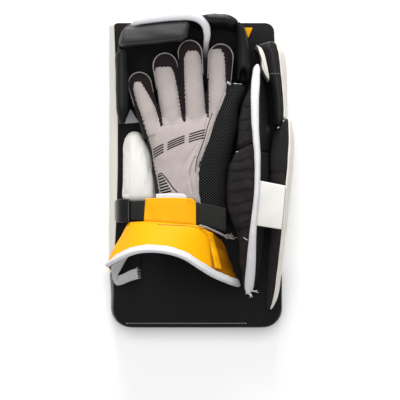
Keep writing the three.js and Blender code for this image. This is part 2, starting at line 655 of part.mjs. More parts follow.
function addOuterWall() {
  const blockSection = ({ inner, outer, top }) => {
    const middle = (inner + outer) / 2;
    return [[inner + 1, guardBase], [inner - 1.5, guardBase + 20], [inner - 1, top - 8],
      [middle - 2.5, top - 1], [middle + 2, top], [outer - 1, top - 5], [outer, top - 20],
      [outer - 1.5, guardBase]];
  };
  addPiece('outer_block', tableLoft(outerBlockRows, blockSection), colours.leather, 0.45);
  const blockSkin = ({ outer, top, bulge }) => [
    [outer - 0.9, guardBase], [outer + 0.5, top - 20], [outer - 0.4, top - 5], [outer + 0.6, top - 3.4],
    [outer + 2.5, top - 8], [bulge - 1.2, top - 17], [bulge, top - 28], [bulge - 2, guardBase + 3],
    [outer + 2, guardBase],
  ];
  addPiece('outer_block_skin', tableLoft(outerBlockRows, blockSkin), colours.white, 0.5);
  const share = (row, part) => guardBase + (row.top - guardBase) * part;
  const lining = (row) => [
    [row.inner, guardBase], [row.inner + 0.5, share(row, 0.3)],
    [lerp(row.inner, row.ridge, 0.45), share(row, 0.7)],
    [row.ridge - 3.6, row.top - 1.5], [row.ridge - 2, row.top], [row.ridge - 0.3, row.top - 1.5],
    [row.ridge + 0.2, share(row, 0.75)], [lerp(row.foot, row.ridge, 0.55), share(row, 0.4)],
    [row.foot - 1, guardBase],
  ];
  addPiece('outer_wing_lining', tableLoft(wingRows, lining, 18), colours.nylon, 0.8);
  const skin = (row) => [
    [row.foot - 0.5, guardBase], [lerp(row.foot, row.ridge, 0.55) + 0.5, share(row, 0.4)],
    [row.ridge + 0.7, share(row, 0.75)], [row.ridge + 0.2, row.top - 1.4], [row.ridge + 0.5, row.top],
    [row.ridge + 2, row.top - 1], [lerp(row.ridge, row.bulge, 0.72), share(row, 0.76)],
    [row.bulge, share(row, 0.46)], [row.bulge - 1.2, share(row, 0.2)],
    [lerp(row.foot, row.bulge, 0.45), guardBase],
  ];
  addPiece('outer_wing_skin', tableLoft(wingRows, skin, 18), colours.white, 0.5);
}

// The white elastic band from the thumb wall across to the wing
function addElasticBand() {
  const wingCurves = columnsOf(wingRows, 'y');
  const clear = 0.6;
  const band = (u, v) => {
    const inY = lerp(-8.7, -58.5, v);
    const outY = lerp(-14.2, -62.8, v);
    const y = lerp(inY, outY, u);
    const start = { x: thumbCurves.ridge(inY) + wallTape.width / 2 + clear, z: thumbCurves.top(inY) - 5 };
    const end = { x: wingCurves.ridge(outY) - 0.5, z: wingCurves.top(outY) + 2.4 };
    const sag = 1.5 * Math.sin(Math.PI * u);
    return new THREE.Vector3(
      lerp(start.x, end.x, u), y, lerp(start.z, end.z, u) - sag,
    );
  };
  addPiece('elastic_band', wall(band, 6, 4, 1.6), colours.white, 0.8);
}

// The cuff: a flared arch over the wrist, yellow outside, black inside, white tape round its rim

const cuffRows = [
  // the narrow edge by the strap, then the flared rim, for each place round the arch
  { neck: [-66, -63, 37.5], rim: [-69, -114, 38] },
  { neck: [-73, -61, 43], rim: [-91, -122, 45] },
  { neck: [-77, -58, 56], rim: [-99.5, -113, 56] },
  { neck: [-77.5, -56, 68], rim: [-101, -102.4, 72] },
  { neck: [-71.5, -55.2, 77], rim: [-86, -93.6, 92] },
  { neck: [-59, -55.6, 84], rim: [-69, -86.6, 106] },
  { neck: [-44, -57, 87.4], rim: [-50.3, -84.6, 113] },
  { neck: [-30, -58.4, 88.6], rim: [-30.3, -87.1, 113] },
  { neck: [-15, -59.2, 88.2], rim: [-13.7, -93.3, 110] },
  { neck: [0, -60, 86], rim: [3, -104.9, 103] },
  { neck: [14.3, -66, 77], rim: [19.6, -115.6, 88] },
  { neck: [27, -78, 59], rim: [35.5, -123.5, 66] },
  { neck: [35, -94, 38], rim: [46, -128.4, 38] },
];
const cuffStations = 28;
const cuffFold = 23 / cuffStations; // share of the way round where the side panel is sewn on
const cuffSeam = 0.003;
const cuffDepth = 45; // from the narrow edge to the rim
const cuffSkin = 3.4;
const cuffLining = 1.6;
const cuffLip = 1.5; // the skin stops this far inside the tape's fold

const cuffNeck = curveThrough(cuffRows.map((row) => row.neck));
const cuffRim = curveThrough(cuffRows.map((row) => row.rim));

function cuffPoint(around, down) {
  return cuffNeck.getPoint(around).lerp(cuffRim.getPoint(around), down);
}

function addCuff() {
  const end = 1 - cuffLip / cuffDepth;
  const part = (from, to) => (u, v) => cuffPoint(lerp(from, to, u), (1 - v) * end);
  const skin = (from, to, count) => wall(part(from, to), count, 3, cuffSkin, cuffSkin / 2);
  addPiece('cuff_panel', skin(0, cuffFold - cuffSeam, 23), colours.yellow, 0.5);
  addPiece('cuff_side_panel', skin(cuffFold + cuffSeam, 1, 5), colours.yellow, 0.5);
  const inside = -cuffSkin / 2 - seamGap;
  addPiece('cuff_lining', wall(part(0, 1), cuffStations, 3, cuffLining, inside), colours.black, 0.8);
  addPiece('cuff_tape', cuffTape(), colours.binding);
}

// The rim's tape is folded round skin and lining, so its channel follows the cuff's own slope.
function cuffTape() {
  const leg = 9;
  const fold = 1.1;
  const outside = cuffSkin / 2 + 0.4;
  const inside = -(cuffSkin / 2 + seamGap + cuffLining + 0.4);
  const middle = (outside + inside) / 2;
  const profile = [
    [leg, outside], [leg, outside + fold], [0, outside + fold], [-1.4, outside], [-1.9, middle],
    [-1.4, inside], [0, inside - fold], [leg, inside - fold], [leg, inside], [-0.5, inside], [-0.5, outside],
  ].map(([x, y]) => new THREE.Vector2(x, y));
  const rings = steps(0, 1, cuffStations).map((around) => {
    const rim = cuffPoint(around, 1);
    const inward = cuffPoint(around, 0.8).sub(rim).normalize();
    const along = cuffPoint(Math.min(1, around + 0.01), 1).sub(cuffPoint(Math.max(0, around - 0.01), 1));
    const normal = along.cross(inward).normalize();
    return profile.map(({ x, y }) => rim.clone().addScaledVector(inward, x).addScaledVector(normal, y));
  });
  return loft(rings, profile);
}

// The wrist strap over the palm's heel, its yellow sleeve, and the keeper at the little-finger edge

const strapRows = [
  // x, height of the strap's underside, its middle and half width along Y
  { x: -75.5, z: 72.5, middle: -42, half: 10.4 },
  { x: -59, z: 79, middle: -41.8, half: 11 },
  { x: -30, z: 81.5, middle: -42.6, half: 12 },
  { x: -1, z: 79, middle: -45, half: 12 },
  { x: 15, z: 75.5, middle: -48, half: 12.4 },
  { x: 28, z: 72.5, middle: -51.5, half: 12.8 },
  { x: 33, z: 70.5, middle: -52.6, half: 13 },
];
const strapThickness = 2.2;
const strapCurves = columnsOf(strapRows, 'x');

function addWristStrap() {
  const over = (u, v) => {
    const x = lerp(-75.5, 32.4, u);
    const y = strapCurves.middle(x) + lerp(-1, 1, v) * strapCurves.half(x);
    return new THREE.Vector3(x, y, strapCurves.z(x) + strapThickness);
  };
  addPiece('wrist_strap', wall(over, 18, 2, strapThickness), colours.webbing, 0.8);
  const layer = (from, to, near, far, raise) => (u, v) => {
    const x = lerp(from, to, u);
    const y = lerp(near, far, v) - 2.5 * Math.max(0, (x + 12) / 12) ** 2;
    return new THREE.Vector3(x, y, strapCurves.z(x) + raise);
  };
  const sleeve = { skin: 2, lining: 1.2 };
  const above = strapThickness + 0.5 + sleeve.skin;
  const outside = layer(-59.6, -1.6, -54.6, -27, above);
  addPiece('strap_sleeve', wall(outside, 10, 3, sleeve.skin), colours.yellow, 0.5);
  const inside = layer(-57.6, -1.6, -54.6, -22.6, -0.6);
  addPiece('sleeve_lining', wall(inside, 10, 3, sleeve.lining), colours.white, 0.6);
  const keeperRows = [
    [-91.6, 0, guardBase + 0.5], [-94, 0, 42], [-93.6, 0, 56], [-90, 0, 67], [-84, 0, 73], [-77.6, 0, 76.5],
  ];
  const keeperLine = curveThrough(keeperRows);
  const keeper = (u, v) => keeperLine.getPoint(u).setY(lerp(-53.2, -28.8, v));
  addPiece('strap_keeper', wall(keeper, 14, 2, 2.6), colours.webbing, 0.5);
}

// The white padded tongue between the board and the glove's little-finger edge
const tongueRows = [
  { y: -31, left: -87, right: -48.6, high: 51 },
  { y: -7, left: -87, right: -50.4, high: 52.5 },
  { y: 12, left: -87, right: -53, high: 53 },
  { y: 28, left: -86.6, right: -57, high: 52.5 },
  { y: 40, left: -84.6, right: -63, high: 51 },
  { y: 47, left: -80.5, right: -66.4, high: 48 },
  { y: 50.5, left: -75.5, right: -69.8, high: 43 },
];

function addTongue() {
  const section = ({ left, right, high }) => {
    const arc = steps(0, 8, 8).map((i) => {
      const angle = (Math.PI * i) / 8;
      const reach = (value) => Math.sign(value) * Math.abs(value) ** 0.62;
      return [(left + right) / 2 - ((right - left) / 2) * reach(Math.cos(angle)),
        guardBase + 4 + (high - guardBase - 4) * Math.abs(reach(Math.sin(angle)))];
    });
    return [[left + 1, guardBase], ...arc, [right - 1, guardBase]];
  };
  addPiece('side_tongue', tableLoft(tongueRows, section, 12), colours.white, 0.5);
}

addBoard();
addBackCover();
addGlove();
addFingerGuard();
addGuardRolls();
addIndexGuard();
addThumbWall();
addOuterWall();
addElasticBand();
addCuff();
addWristStrap();
addTongue();

export default blocker;
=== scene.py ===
import json
import math

import bmesh
import bpy
import numpy as np
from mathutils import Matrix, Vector
from mathutils.bvhtree import BVHTree
from mathutils.kdtree import KDTree
from numpy.linalg import norm

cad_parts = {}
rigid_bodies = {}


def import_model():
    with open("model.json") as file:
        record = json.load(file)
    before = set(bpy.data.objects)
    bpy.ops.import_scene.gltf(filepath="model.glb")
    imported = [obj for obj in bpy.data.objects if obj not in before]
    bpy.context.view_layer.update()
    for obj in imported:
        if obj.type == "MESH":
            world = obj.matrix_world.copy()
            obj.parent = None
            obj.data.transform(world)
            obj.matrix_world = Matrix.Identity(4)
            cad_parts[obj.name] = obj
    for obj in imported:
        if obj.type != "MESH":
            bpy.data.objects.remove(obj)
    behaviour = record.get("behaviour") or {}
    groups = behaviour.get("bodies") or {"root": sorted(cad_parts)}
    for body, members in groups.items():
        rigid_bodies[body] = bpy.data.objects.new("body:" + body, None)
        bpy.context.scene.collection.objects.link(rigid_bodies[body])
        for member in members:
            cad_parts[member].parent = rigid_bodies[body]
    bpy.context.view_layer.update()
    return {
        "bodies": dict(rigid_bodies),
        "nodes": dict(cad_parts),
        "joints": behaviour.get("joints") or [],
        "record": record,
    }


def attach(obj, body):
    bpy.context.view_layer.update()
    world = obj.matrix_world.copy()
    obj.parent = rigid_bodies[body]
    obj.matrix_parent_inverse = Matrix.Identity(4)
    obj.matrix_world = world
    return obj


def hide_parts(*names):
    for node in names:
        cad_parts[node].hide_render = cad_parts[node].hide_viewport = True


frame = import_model()
mm = 0.001  # tables below are in millimetres, X to the thumb, Y to the fingertips, Z to the palm

# Camera, light and floor

studio = {"height": 1.8, "aimX": 3, "aimY": -29.9, "across": 0.474, "sensor": 36.0}
floorLook = {"side": 6, "colour": (0.95, 0.95, 0.95), "roughness": 0.7, "glow": 0.05}
lamps = [  # place, size and power of each soft light, all aimed at the blocker
    {"name": "overheadPanel", "at": (-0.05, 0.5, 2.5), "size": 2.2, "power": 54.0},
    {"name": "softboxFingers", "at": (-0.05, 1.8, 0.66), "size": 0.8, "power": 34.0},
]
skyStrength = 0.3


def linked(name, data):
    thing = bpy.data.objects.new(name, data)
    bpy.context.scene.collection.objects.link(thing)
    return thing


def fill(node, values):
    for key, value in values.items():
        node.inputs[key].default_value = value


def setStage():
    scene = bpy.context.scene
    scene.view_settings.view_transform = "Standard"
    camera = linked("camera", bpy.data.cameras.new("camera"))
    camera.data.sensor_width = studio["sensor"]
    camera.data.lens = studio["sensor"] * studio["height"] / studio["across"]
    camera.data.clip_start = 0.01
    camera.location = (studio["aimX"] * mm, studio["aimY"] * mm, studio["height"])
    scene.camera = camera
    for lamp in lamps:
        light = bpy.data.lights.new(lamp["name"], "AREA")
        light.size = lamp["size"]
        light.energy = lamp["power"]
        holder = linked(lamp["name"], light)
        holder.location = lamp["at"]
        holder.rotation_euler = (-Vector(lamp["at"])).to_track_quat("-Z", "Y").to_euler()
    scene.world = bpy.data.worlds.new("studio")
    scene.world.use_nodes = True
    fill(scene.world.node_tree.nodes["Background"], {"Color": (1, 1, 1, 1), "Strength": skyStrength})
    half = floorLook["side"] / 2
    mesh = bpy.data.meshes.new("floor")
    mesh.from_pydata([(-half, -half, 0), (half, -half, 0), (half, half, 0), (-half, half, 0)], [],
                     [(0, 1, 2, 3)])
    paper = bpy.data.materials.new("floorPaper")
    paper.use_nodes = True
    fill(paper.node_tree.nodes["Principled BSDF"], {
        "Base Color": (*floorLook["colour"], 1), "Roughness": floorLook["roughness"],
        "Emission Color": (1, 1, 1, 1), "Emission Strength": floorLook["glow"]})
    mesh.materials.append(paper)
    linked("floor", mesh)


setStage()
print("stage is set")

# Materials


def addNode(tree, kind, settings=None, inputs=None):
    node = tree.nodes.new(kind)
    for key, value in (settings or {}).items():
        setattr(node, key, value)
    for key, value in (inputs or {}).items():
        if isinstance(value, bpy.types.NodeSocket):
            tree.links.new(value, node.inputs[key])
        else:
            node.inputs[key].default_value = value
    return node


def doMath(tree, operation, a, b=0, c=0):
    return addNode(tree, "ShaderNodeMath", {"operation": operation}, {0: a, 1: b, 2: c}).outputs[0]


def noise(tree, place, scale, detail=2, **more):
    inputs = {"Vector": place, "Scale": scale, "Detail": detail, **more}
    return addNode(tree, "ShaderNodeTexNoise", None, inputs).outputs[0]


def mixed(tree, a, b, share=1, blend="MULTIPLY"):
    settings = {"data_type": "RGBA", "blend_type": blend}
    return addNode(tree, "ShaderNodeMix", settings, {0: share, 6: a, 7: b}).outputs[2]


def remapped(tree, value, low, high, toLow, toHigh, kind="LINEAR"):
    inputs = {0: value, 1: low, 2: high, 3: toLow, 4: toHigh}
    return addNode(tree, "ShaderNodeMapRange", {"interpolation_type": kind}, inputs).outputs[0]


def startMaterial(name, roughness, sheen=0, sheenRoughness=0.5, specular=0.5):
    material = bpy.data.materials.new(name)
    material.use_nodes = True
    tree = material.node_tree
    shader = tree.nodes["Principled BSDF"]
    fill(shader, {"Roughness": roughness, "Sheen Weight": sheen, "Sheen Roughness": sheenRoughness,
                  "Specular IOR Level": specular})
    return material, tree, shader, addNode(tree, "ShaderNodeTexCoord").outputs


def setSurface(tree, shader, colour, height, strength, distance):
    tree.links.new(colour, shader.inputs["Base Color"])
    bump = addNode(tree, "ShaderNodeBump", None, {"Strength": strength, "Distance": distance * mm,
                                                  "Height": height})
    tree.links.new(bump.outputs[0], shader.inputs["Normal"])


def tint(colour, share=1):
    return (*[min(1, c * share) for c in colour], 1)


# Colour that drifts between two shades in soft patches, for wear and dye variation
def patchyColour(tree, place, colour, spread, size):
    patches = noise(tree, place, 1 / (size * mm), 4)
    return mixed(tree, tint(colour, 1 - spread), tint(colour, 1 + spread), patches, "MIX"), patches


def setRoughness(tree, shader, patches, roughness, spread):
    varied = doMath(tree, "MULTIPLY_ADD", patches, 2 * spread, roughness - spread)
    tree.links.new(varied, shader.inputs["Roughness"])


# Smooth coated leather: fine pebbled grain, a few long creases, satin gloss
def leather(name, colour, roughness=0.42, grain=1.1, depth=0.35, spread=0.05, specular=0.5):
    material, tree, shader, places = startMaterial(name, roughness, specular=specular)
    place = places["Object"]
    shade, patches = patchyColour(tree, place, colour, spread, 30)
    setRoughness(tree, shader, patches, roughness, 0.06)
    pebbles = addNode(tree, "ShaderNodeTexVoronoi", {"feature": "SMOOTH_F1"}, {
        "Vector": place, "Scale": 1 / (grain * mm), "Smoothness": 0.6})
    height = doMath(tree, "MULTIPLY", noise(tree, place, 2400), 0.25)
    height = doMath(tree, "MULTIPLY_ADD", pebbles.outputs["Distance"], -0.9, height)
    height = doMath(tree, "MULTIPLY_ADD", noise(tree, place, 140, Distortion=0.6), 1.2, height)
    setSurface(tree, shader, shade, height, depth, 0.25)
    return material


# A close weave that follows the piece's own UV map, in metres
def weave(name, colour, pitch=0.7, ribShare=1, roughness=0.75, depth=0.6, spread=0.08, sheen=0.15,
          specular=0.3, contrast=0.22):
    material, tree, shader, places = startMaterial(name, roughness, sheen=sheen, specular=specular)
    shade, patches = patchyColour(tree, places["Object"], colour, spread, 18)
    setRoughness(tree, shader, patches, roughness, 0.05)
    split = addNode(tree, "ShaderNodeSeparateXYZ", None, {0: places["UV"]})
    turn = 2 * math.pi / (pitch * mm)
    across, along = (doMath(tree, "SINE", doMath(tree, "MULTIPLY", split.outputs[k], turn * share))
                     for k, share in enumerate((1, ribShare)))
    fuzz = doMath(tree, "MULTIPLY", noise(tree, places["Object"], 1800), 0.7)
    threads = doMath(tree, "MULTIPLY_ADD", across, along, fuzz)
    dark = doMath(tree, "MULTIPLY_ADD", threads, contrast, 1 - 0.7 * contrast)
    setSurface(tree, shader, mixed(tree, shade, dark), threads, depth, 0.15)
    return material


# Paints light or shade into a material: darker or lighter along the blocker, from one place on Y to another
def fadeAlong(material, fromY, toY, fromShare, toShare, power):
    tree = material.node_tree
    base = tree.nodes["Principled BSDF"].inputs["Base Color"]
    place = addNode(tree, "ShaderNodeTexCoord").outputs["Object"]
    split = addNode(tree, "ShaderNodeSeparateXYZ", None, {0: place})
    along = remapped(tree, split.outputs[1], fromY * mm, toY * mm, 0, 1)
    share = remapped(tree, doMath(tree, "POWER", along, power), 0, 1, fromShare, toShare)
    tree.links.new(mixed(tree, base.links[0].from_socket, share), base)


# Synthetic suede: napped, matt, cloudy where it has been brushed
def suede(name, colour):
    material, tree, shader, places = startMaterial(name, 0.95, sheen=0.35, sheenRoughness=0.6, specular=0.15)
    shade, _ = patchyColour(tree, places["Object"], colour, 0.09, 9)
    nap = noise(tree, places["Object"], 950, 5, Roughness=0.75)
    speck = remapped(tree, nap, 0.3, 0.7, 0.86, 1.08)
    setSurface(tree, shader, mixed(tree, shade, speck), nap, 0.5, 0.2)
    return material


# Spacer mesh: diamond rows of small holes in a black knit, from the piece's UV map
def airMesh(name, colour, glint, cell):
    material, tree, shader, places = startMaterial(name, 0.8, specular=0.08)
    turned = addNode(tree, "ShaderNodeMapping", None, {0: places["UV"], "Rotation": (0, 0, math.pi / 4)})
    holes = addNode(tree, "ShaderNodeTexVoronoi", None, {
        "Vector": turned.outputs[0], "Scale": 1 / (cell * 0.7071 * mm), "Randomness": 0.0})
    depth = remapped(tree, holes.outputs["Distance"], 0.18, 0.36, 1, 0, "SMOOTHSTEP")
    height = doMath(tree, "MULTIPLY_ADD", noise(tree, places["Object"], 1500), 0.3, depth)
    setSurface(tree, shader, mixed(tree, tint(colour), tint(glint), depth, "MIX"), height, 0.5, 0.3)
    return material


# Plain sewing thread, with its twist as fine noise
def thread(name, colour):
    material, tree, shader, places = startMaterial(name, 0.6, sheen=0.2)
    shade, _ = patchyColour(tree, places["Object"], colour, 0.12, 2)
    setSurface(tree, shader, shade, noise(tree, places["Object"], 2500), 0.4, 0.1)
    return material


whiteLeather = leather("whiteLeather", (0.74, 0.71, 0.645), roughness=0.45, depth=0.3, spread=0.02,
                       specular=0.3)
blackLeather = leather("blackLeather", (0.0115, 0.0115, 0.012), roughness=0.36, depth=0.3, specular=0.42)
yellowLeather = leather("yellowLeather", (0.86, 0.39, 0.002), roughness=0.5, depth=0.25, spread=0.025,
                        specular=0.09)
nylonCloth = weave("nylonCloth", (0.0125, 0.0115, 0.0122), pitch=0.8, sheen=0.02, specular=0.08)
padNylon = weave("padNylon", (0.021, 0.0175, 0.0185), pitch=0.7, sheen=0.04, specular=0.09)
gloveKnit = weave("gloveKnit", (0.019, 0.013, 0.0145), pitch=1.1, ribShare=0.6, sheen=0.05, specular=0.06)
palmSuede = suede("palmSuede", (0.42, 0.365, 0.35))
paleSuede = suede("paleSuede", (0.40, 0.37, 0.36))
meshCloth = airMesh("meshCloth", (0.0015, 0.0015, 0.0015), (0.05, 0.056, 0.053), cell=3.2)
blackWebbing = weave("blackWebbing", (0.013, 0.013, 0.012), pitch=1.6, ribShare=0.5, sheen=0.04,
                     specular=0.25)
whiteTape = weave("whiteTape", (0.74, 0.74, 0.77), pitch=0.9, roughness=0.5, depth=0.4, spread=0.02)
whiteElastic = weave("whiteElastic", (0.78, 0.765, 0.72), pitch=1.5, ribShare=0.35, depth=0.08, spread=0.01,
                     contrast=0.03)
tongueLeather = leather("tongueLeather", (0.76, 0.745, 0.705), roughness=0.45, depth=0.25, spread=0.02)
# Painted light: a lighter copy of the black leather for the top roll, standing for its lit face; its broad
# highlight also comes from roughness and specular
litRollLeather = leather("litRollLeather", (0.03, 0.03, 0.032), roughness=0.52, depth=0.3, specular=0.55)
satinLeather = leather("satinLeather", (0.0105, 0.0105, 0.0112), roughness=0.56, depth=0.3, specular=0.2)
# Painted shade: the white tape greyed where it turns under the cuff
paintedShadeTape = weave("paintedShadeTape", (0.56, 0.55, 0.56), pitch=0.9, roughness=0.6, depth=0.4, spread=0.06)
# Painted shade: the cuff's yellow leather darkened for its side panel, which is in shade
shadedYellow = leather("shadedYellow", (0.27, 0.1, 0.0015), roughness=0.5, depth=0.3, spread=0.3,
                       specular=0.15)
# Painted light and shade: a brighter copy of the white tape for the finger guard's edge, darkened lower down
# by the fade below
shadedGuardTape = weave("shadedGuardTape", (0.88, 0.88, 0.91), pitch=0.9, roughness=0.5, depth=0.4, spread=0.02)
greyPiping = weave("greyPiping", (0.33, 0.31, 0.30), pitch=1, roughness=0.6)
whiteThread = thread("whiteThread", (0.8, 0.8, 0.8))
greyThread = thread("greyThread", (0.36, 0.33, 0.32))
suedeThread = thread("suedeThread", (0.26, 0.23, 0.22))
# Painted shadow: a dark reddish-brown colour for the strip where the sleeve meets the cuff
seamShadowPaint = thread("seamShadowPaint", (0.26, 0.065, 0.006))
edgeThread = thread("edgeThread", (0.42, 0.37, 0.36))
yellowThread = thread("yellowThread", (0.62, 0.27, 0.003))
darkThread = thread("darkThread", (0.09, 0.085, 0.09))
glossyWebbing = leather("glossyWebbing", (0.006, 0.006, 0.007), roughness=0.34, grain=0.9, depth=0.35,
                        specular=0.4)
# Painted light: a lighter copy of the black leather for the thumb wall's outer panel, which stands in the
# wing's shade
litPanelLeather = leather("litPanelLeather", (0.028, 0.028, 0.03), roughness=0.5, depth=0.25, specular=0.35)
greyCloth = weave("greyCloth", (0.50, 0.49, 0.51), pitch=0.9, roughness=0.6)
printInk = leather("printInk", (0.008, 0.0075, 0.008), roughness=0.7, depth=0.1, specular=0.1)
# Painted sheen: the back cover's cloth is lighter towards the finger end, from Y 138 to 172
fadeAlong(nylonCloth, 138, 172, 1, 1.9, power=1.5)
# Painted shade: the guard's tape turns nearly black where it goes down between the fingers, below Y 153
fadeAlong(shadedGuardTape, 128, 153, 0.03, 1, power=2.2)
print("materials are made")

# Curves through a table's rows


def unit(vectors):
    return vectors / (norm(vectors, axis=-1, keepdims=True) + 1e-12)
def smoothThrough(places, values):
    places = np.asarray(places, float)
    values = np.asarray(values, float)
    slope = np.diff(values) / np.diff(places)
    tangent = np.zeros(len(values))
    tangent[0], tangent[-1] = slope[0], slope[-1]
    for i in range(1, len(values) - 1):
        if slope[i - 1] * slope[i] > 0:
            tangent[i] = 2 * slope[i - 1] * slope[i] / (slope[i - 1] + slope[i])

    def at(x):
        x = np.clip(x, places[0], places[-1])
        i = np.clip(np.searchsorted(places, x, "right") - 1, 0, len(places) - 2)
        width = places[i + 1] - places[i]
        t = (x - places[i]) / width
        back = 1 - t
        return ((1 + 2 * t) * back ** 2 * values[i] + t * back ** 2 * width * tangent[i]
                + t * t * (3 - 2 * t) * values[i + 1] - t * t * back * width * tangent[i + 1])
    return at


# One curve for each column of a table whose first column is the place
def tableCurves(names, rows):
    rows = sorted(rows)
    places = [row[0] for row in rows]
    return {name: smoothThrough(places, [row[k + 1] for row in rows]) for k, name in enumerate(names)}


def splinePoint(rows, t):
    last = len(rows) - 1
    i = min(int(last * t), last - 1)
    w = last * t - i
    p1, p2 = rows[i], rows[i + 1]
    p0 = rows[i - 1] if i > 0 else 2 * rows[0] - rows[1]
    p3 = rows[i + 2] if i + 2 <= last else 2 * rows[last] - rows[last - 1]
    d0, d1, d2 = (max(1e-4, norm(b - a)) ** 0.5 for a, b in ((p0, p1), (p1, p2), (p2, p3)))
    t1 = ((p1 - p0) / d0 - (p2 - p0) / (d0 + d1) + (p2 - p1) / d1) * d1
    t2 = ((p2 - p1) / d1 - (p3 - p1) / (d1 + d2) + (p3 - p2) / d2) * d1
    return p1 + t1 * w + (-3 * p1 + 3 * p2 - 2 * t1 - t2) * w ** 2 + (2 * p1 - 2 * p2 + t1 + t2) * w ** 3


def splinePath(rows, count):
    rows = [np.asarray(row, float) for row in rows]
    return np.array([splinePoint(rows, i / count) for i in range(count + 1)])


def pathLengths(path):
    return np.concatenate([[0], np.cumsum(norm(np.diff(path, axis=0), axis=1))])
    return np.concatenate([[0], np.cumsum(norm(np.diff(path, axis=0), axis=1))])


def evenPath(path, step):
    path = np.asarray(path, float)
    lengths = pathLengths(path)
    places = np.linspace(0, lengths[-1], max(2, int(round(lengths[-1] / step)) + 1))
    return np.stack([np.interp(places, lengths, column) for column in path.T], 1)


# Corners of an outline turned into arcs, one radius for each corner
def roundedOutline(corners, radii, steps=5):
    corners = [np.asarray(c, float) for c in corners]
    points = []
    for i, corner in enumerate(corners):
        before = corners[i - 1] - corner
        after = corners[(i + 1) % len(corners)] - corner
        reach = min(radii[i], 0.48 * norm(before), 0.48 * norm(after))
        if reach < 0.05:
            points.append(corner)
            continue
        a = corner + before / norm(before) * reach
        b = corner + after / norm(after) * reach
        for t in np.linspace(0, 1, steps + 1):
            points.append((1 - t) ** 2 * a + 2 * t * (1 - t) * corner + t ** 2 * b)
    return np.array(points)


# A closed outline resampled to an even count of points, so that rings can be lofted
def evenRing(outline, count):
    closed = np.vstack([outline, outline[:1]])
    lengths = pathLengths(closed)
    places = np.linspace(0, lengths[-1], count, endpoint=False)
    return np.stack([np.interp(places, lengths, column) for column in closed.T], 1)


def section(outline, y):
    return np.column_stack([outline[:, 0], np.full(len(outline), y), outline[:, 1]])


# Rings of one outline in plan, drawn in by a share of its size at each height
def levelStack(ring, levels):
    middle = ring.mean(0)
    return [np.column_stack([middle + (ring - middle) * share, np.full(len(ring), z)]) for share, z in levels]


# Smooth bumps: a sum of sine waves in directions that the seed fixes
def ripple(points, size, seed):
    rng = np.random.default_rng(seed)
    total = np.zeros(len(points))
    for _ in range(7):
        direction = rng.normal(size=3)
        direction /= norm(direction)
        total += np.sin(points @ direction * (2 * math.pi / size * rng.uniform(0.6, 1.6)) + rng.uniform(0, 7))
    return total / 3.2


# The whole blocker follows the board's curve at the finger end
boardCurve = {"start": 95, "end": 181, "height": 9.0}


def unitGrid(rows, columns):
    return np.meshgrid(np.linspace(0, 1, rows), np.linspace(0, 1, columns), indexing="ij")


def lifted(points):
    points = np.array(points, float)
    span = boardCurve["end"] - boardCurve["start"]
    share = np.clip((points[..., 1] - boardCurve["start"]) / span, 0, None)
    points[..., 2] += boardCurve["height"] * share ** 2
    return points


# Meshes


def signedVolume(points, faces):
    total = 0.0
    for k in range(1, faces.shape[1] - 1):
        a, b, c = points[faces[:, 0]], points[faces[:, k]], points[faces[:, k + 1]]
        total += np.einsum("ij,ij->i", a, np.cross(b, c)).sum()
    return total


def newPiece(name, points, faces, material, corners=None, caps=()):
    faces = np.asarray(faces)
    raised = lifted(points) * mm
    allFaces = [list(map(int, f)) for f in faces] + [list(map(int, f)) for f in caps]
    mesh = bpy.data.meshes.new(name)
    mesh.from_pydata(raised.tolist(), [], allFaces)
    layer = mesh.uv_layers.new(name="UVMap")
    if corners is not None:
        values = np.zeros((len(mesh.loops), 2))
        flat = np.asarray(corners, float).reshape(-1, 2) * mm
        values[:len(flat)] = flat
        start = len(flat)
        for cap in caps:
            own = raised[list(cap)]
            values[start:start + len(cap)] = own[:, [0, 2]]
            start += len(cap)
        layer.data.foreach_set("uv", values.ravel())
    mesh.materials.append(material)
    piece = linked(name, mesh)
    shadeSmooth(piece)
    if signedVolume(raised, faces) < 0:
        mesh.flip_normals()
    return piece


# A solid through rings of equally many points, its ends closed by flat or given caps
def loft(name, rings, material, caps=None):
    rings = np.asarray(rings, float)
    n, m, _ = rings.shape
    i, j = np.meshgrid(np.arange(n - 1), np.arange(m), indexing="ij")
    nextJ = (j + 1) % m
    faces = np.stack([i * m + j, i * m + nextJ, (i + 1) * m + nextJ, (i + 1) * m + j], -1).reshape(-1, 4)
    around = np.concatenate([[0], np.cumsum(norm(np.roll(rings, -1, 1) - rings, axis=2).mean(0))])
    along = np.concatenate([[0], np.cumsum(norm(np.diff(rings, axis=0), axis=2).mean(1))])
    corners = np.stack([np.stack([around[j + a], along[i + b]], -1)
                        for a, b in ((0, 0), (1, 0), (1, 1), (0, 1))], 2).reshape(-1, 2)
    if caps is None:
        caps = [tuple(range(m))[::-1], tuple(range((n - 1) * m, n * m))]
    return newPiece(name, rings.reshape(-1, 3), faces, material, corners, caps)


def gridNormals(grid):
    return unit(np.cross(np.gradient(grid, axis=0), np.gradient(grid, axis=1)))


def facing(grid):
    return 1.0 if gridNormals(grid)[..., 2].mean() > 0 else -1.0


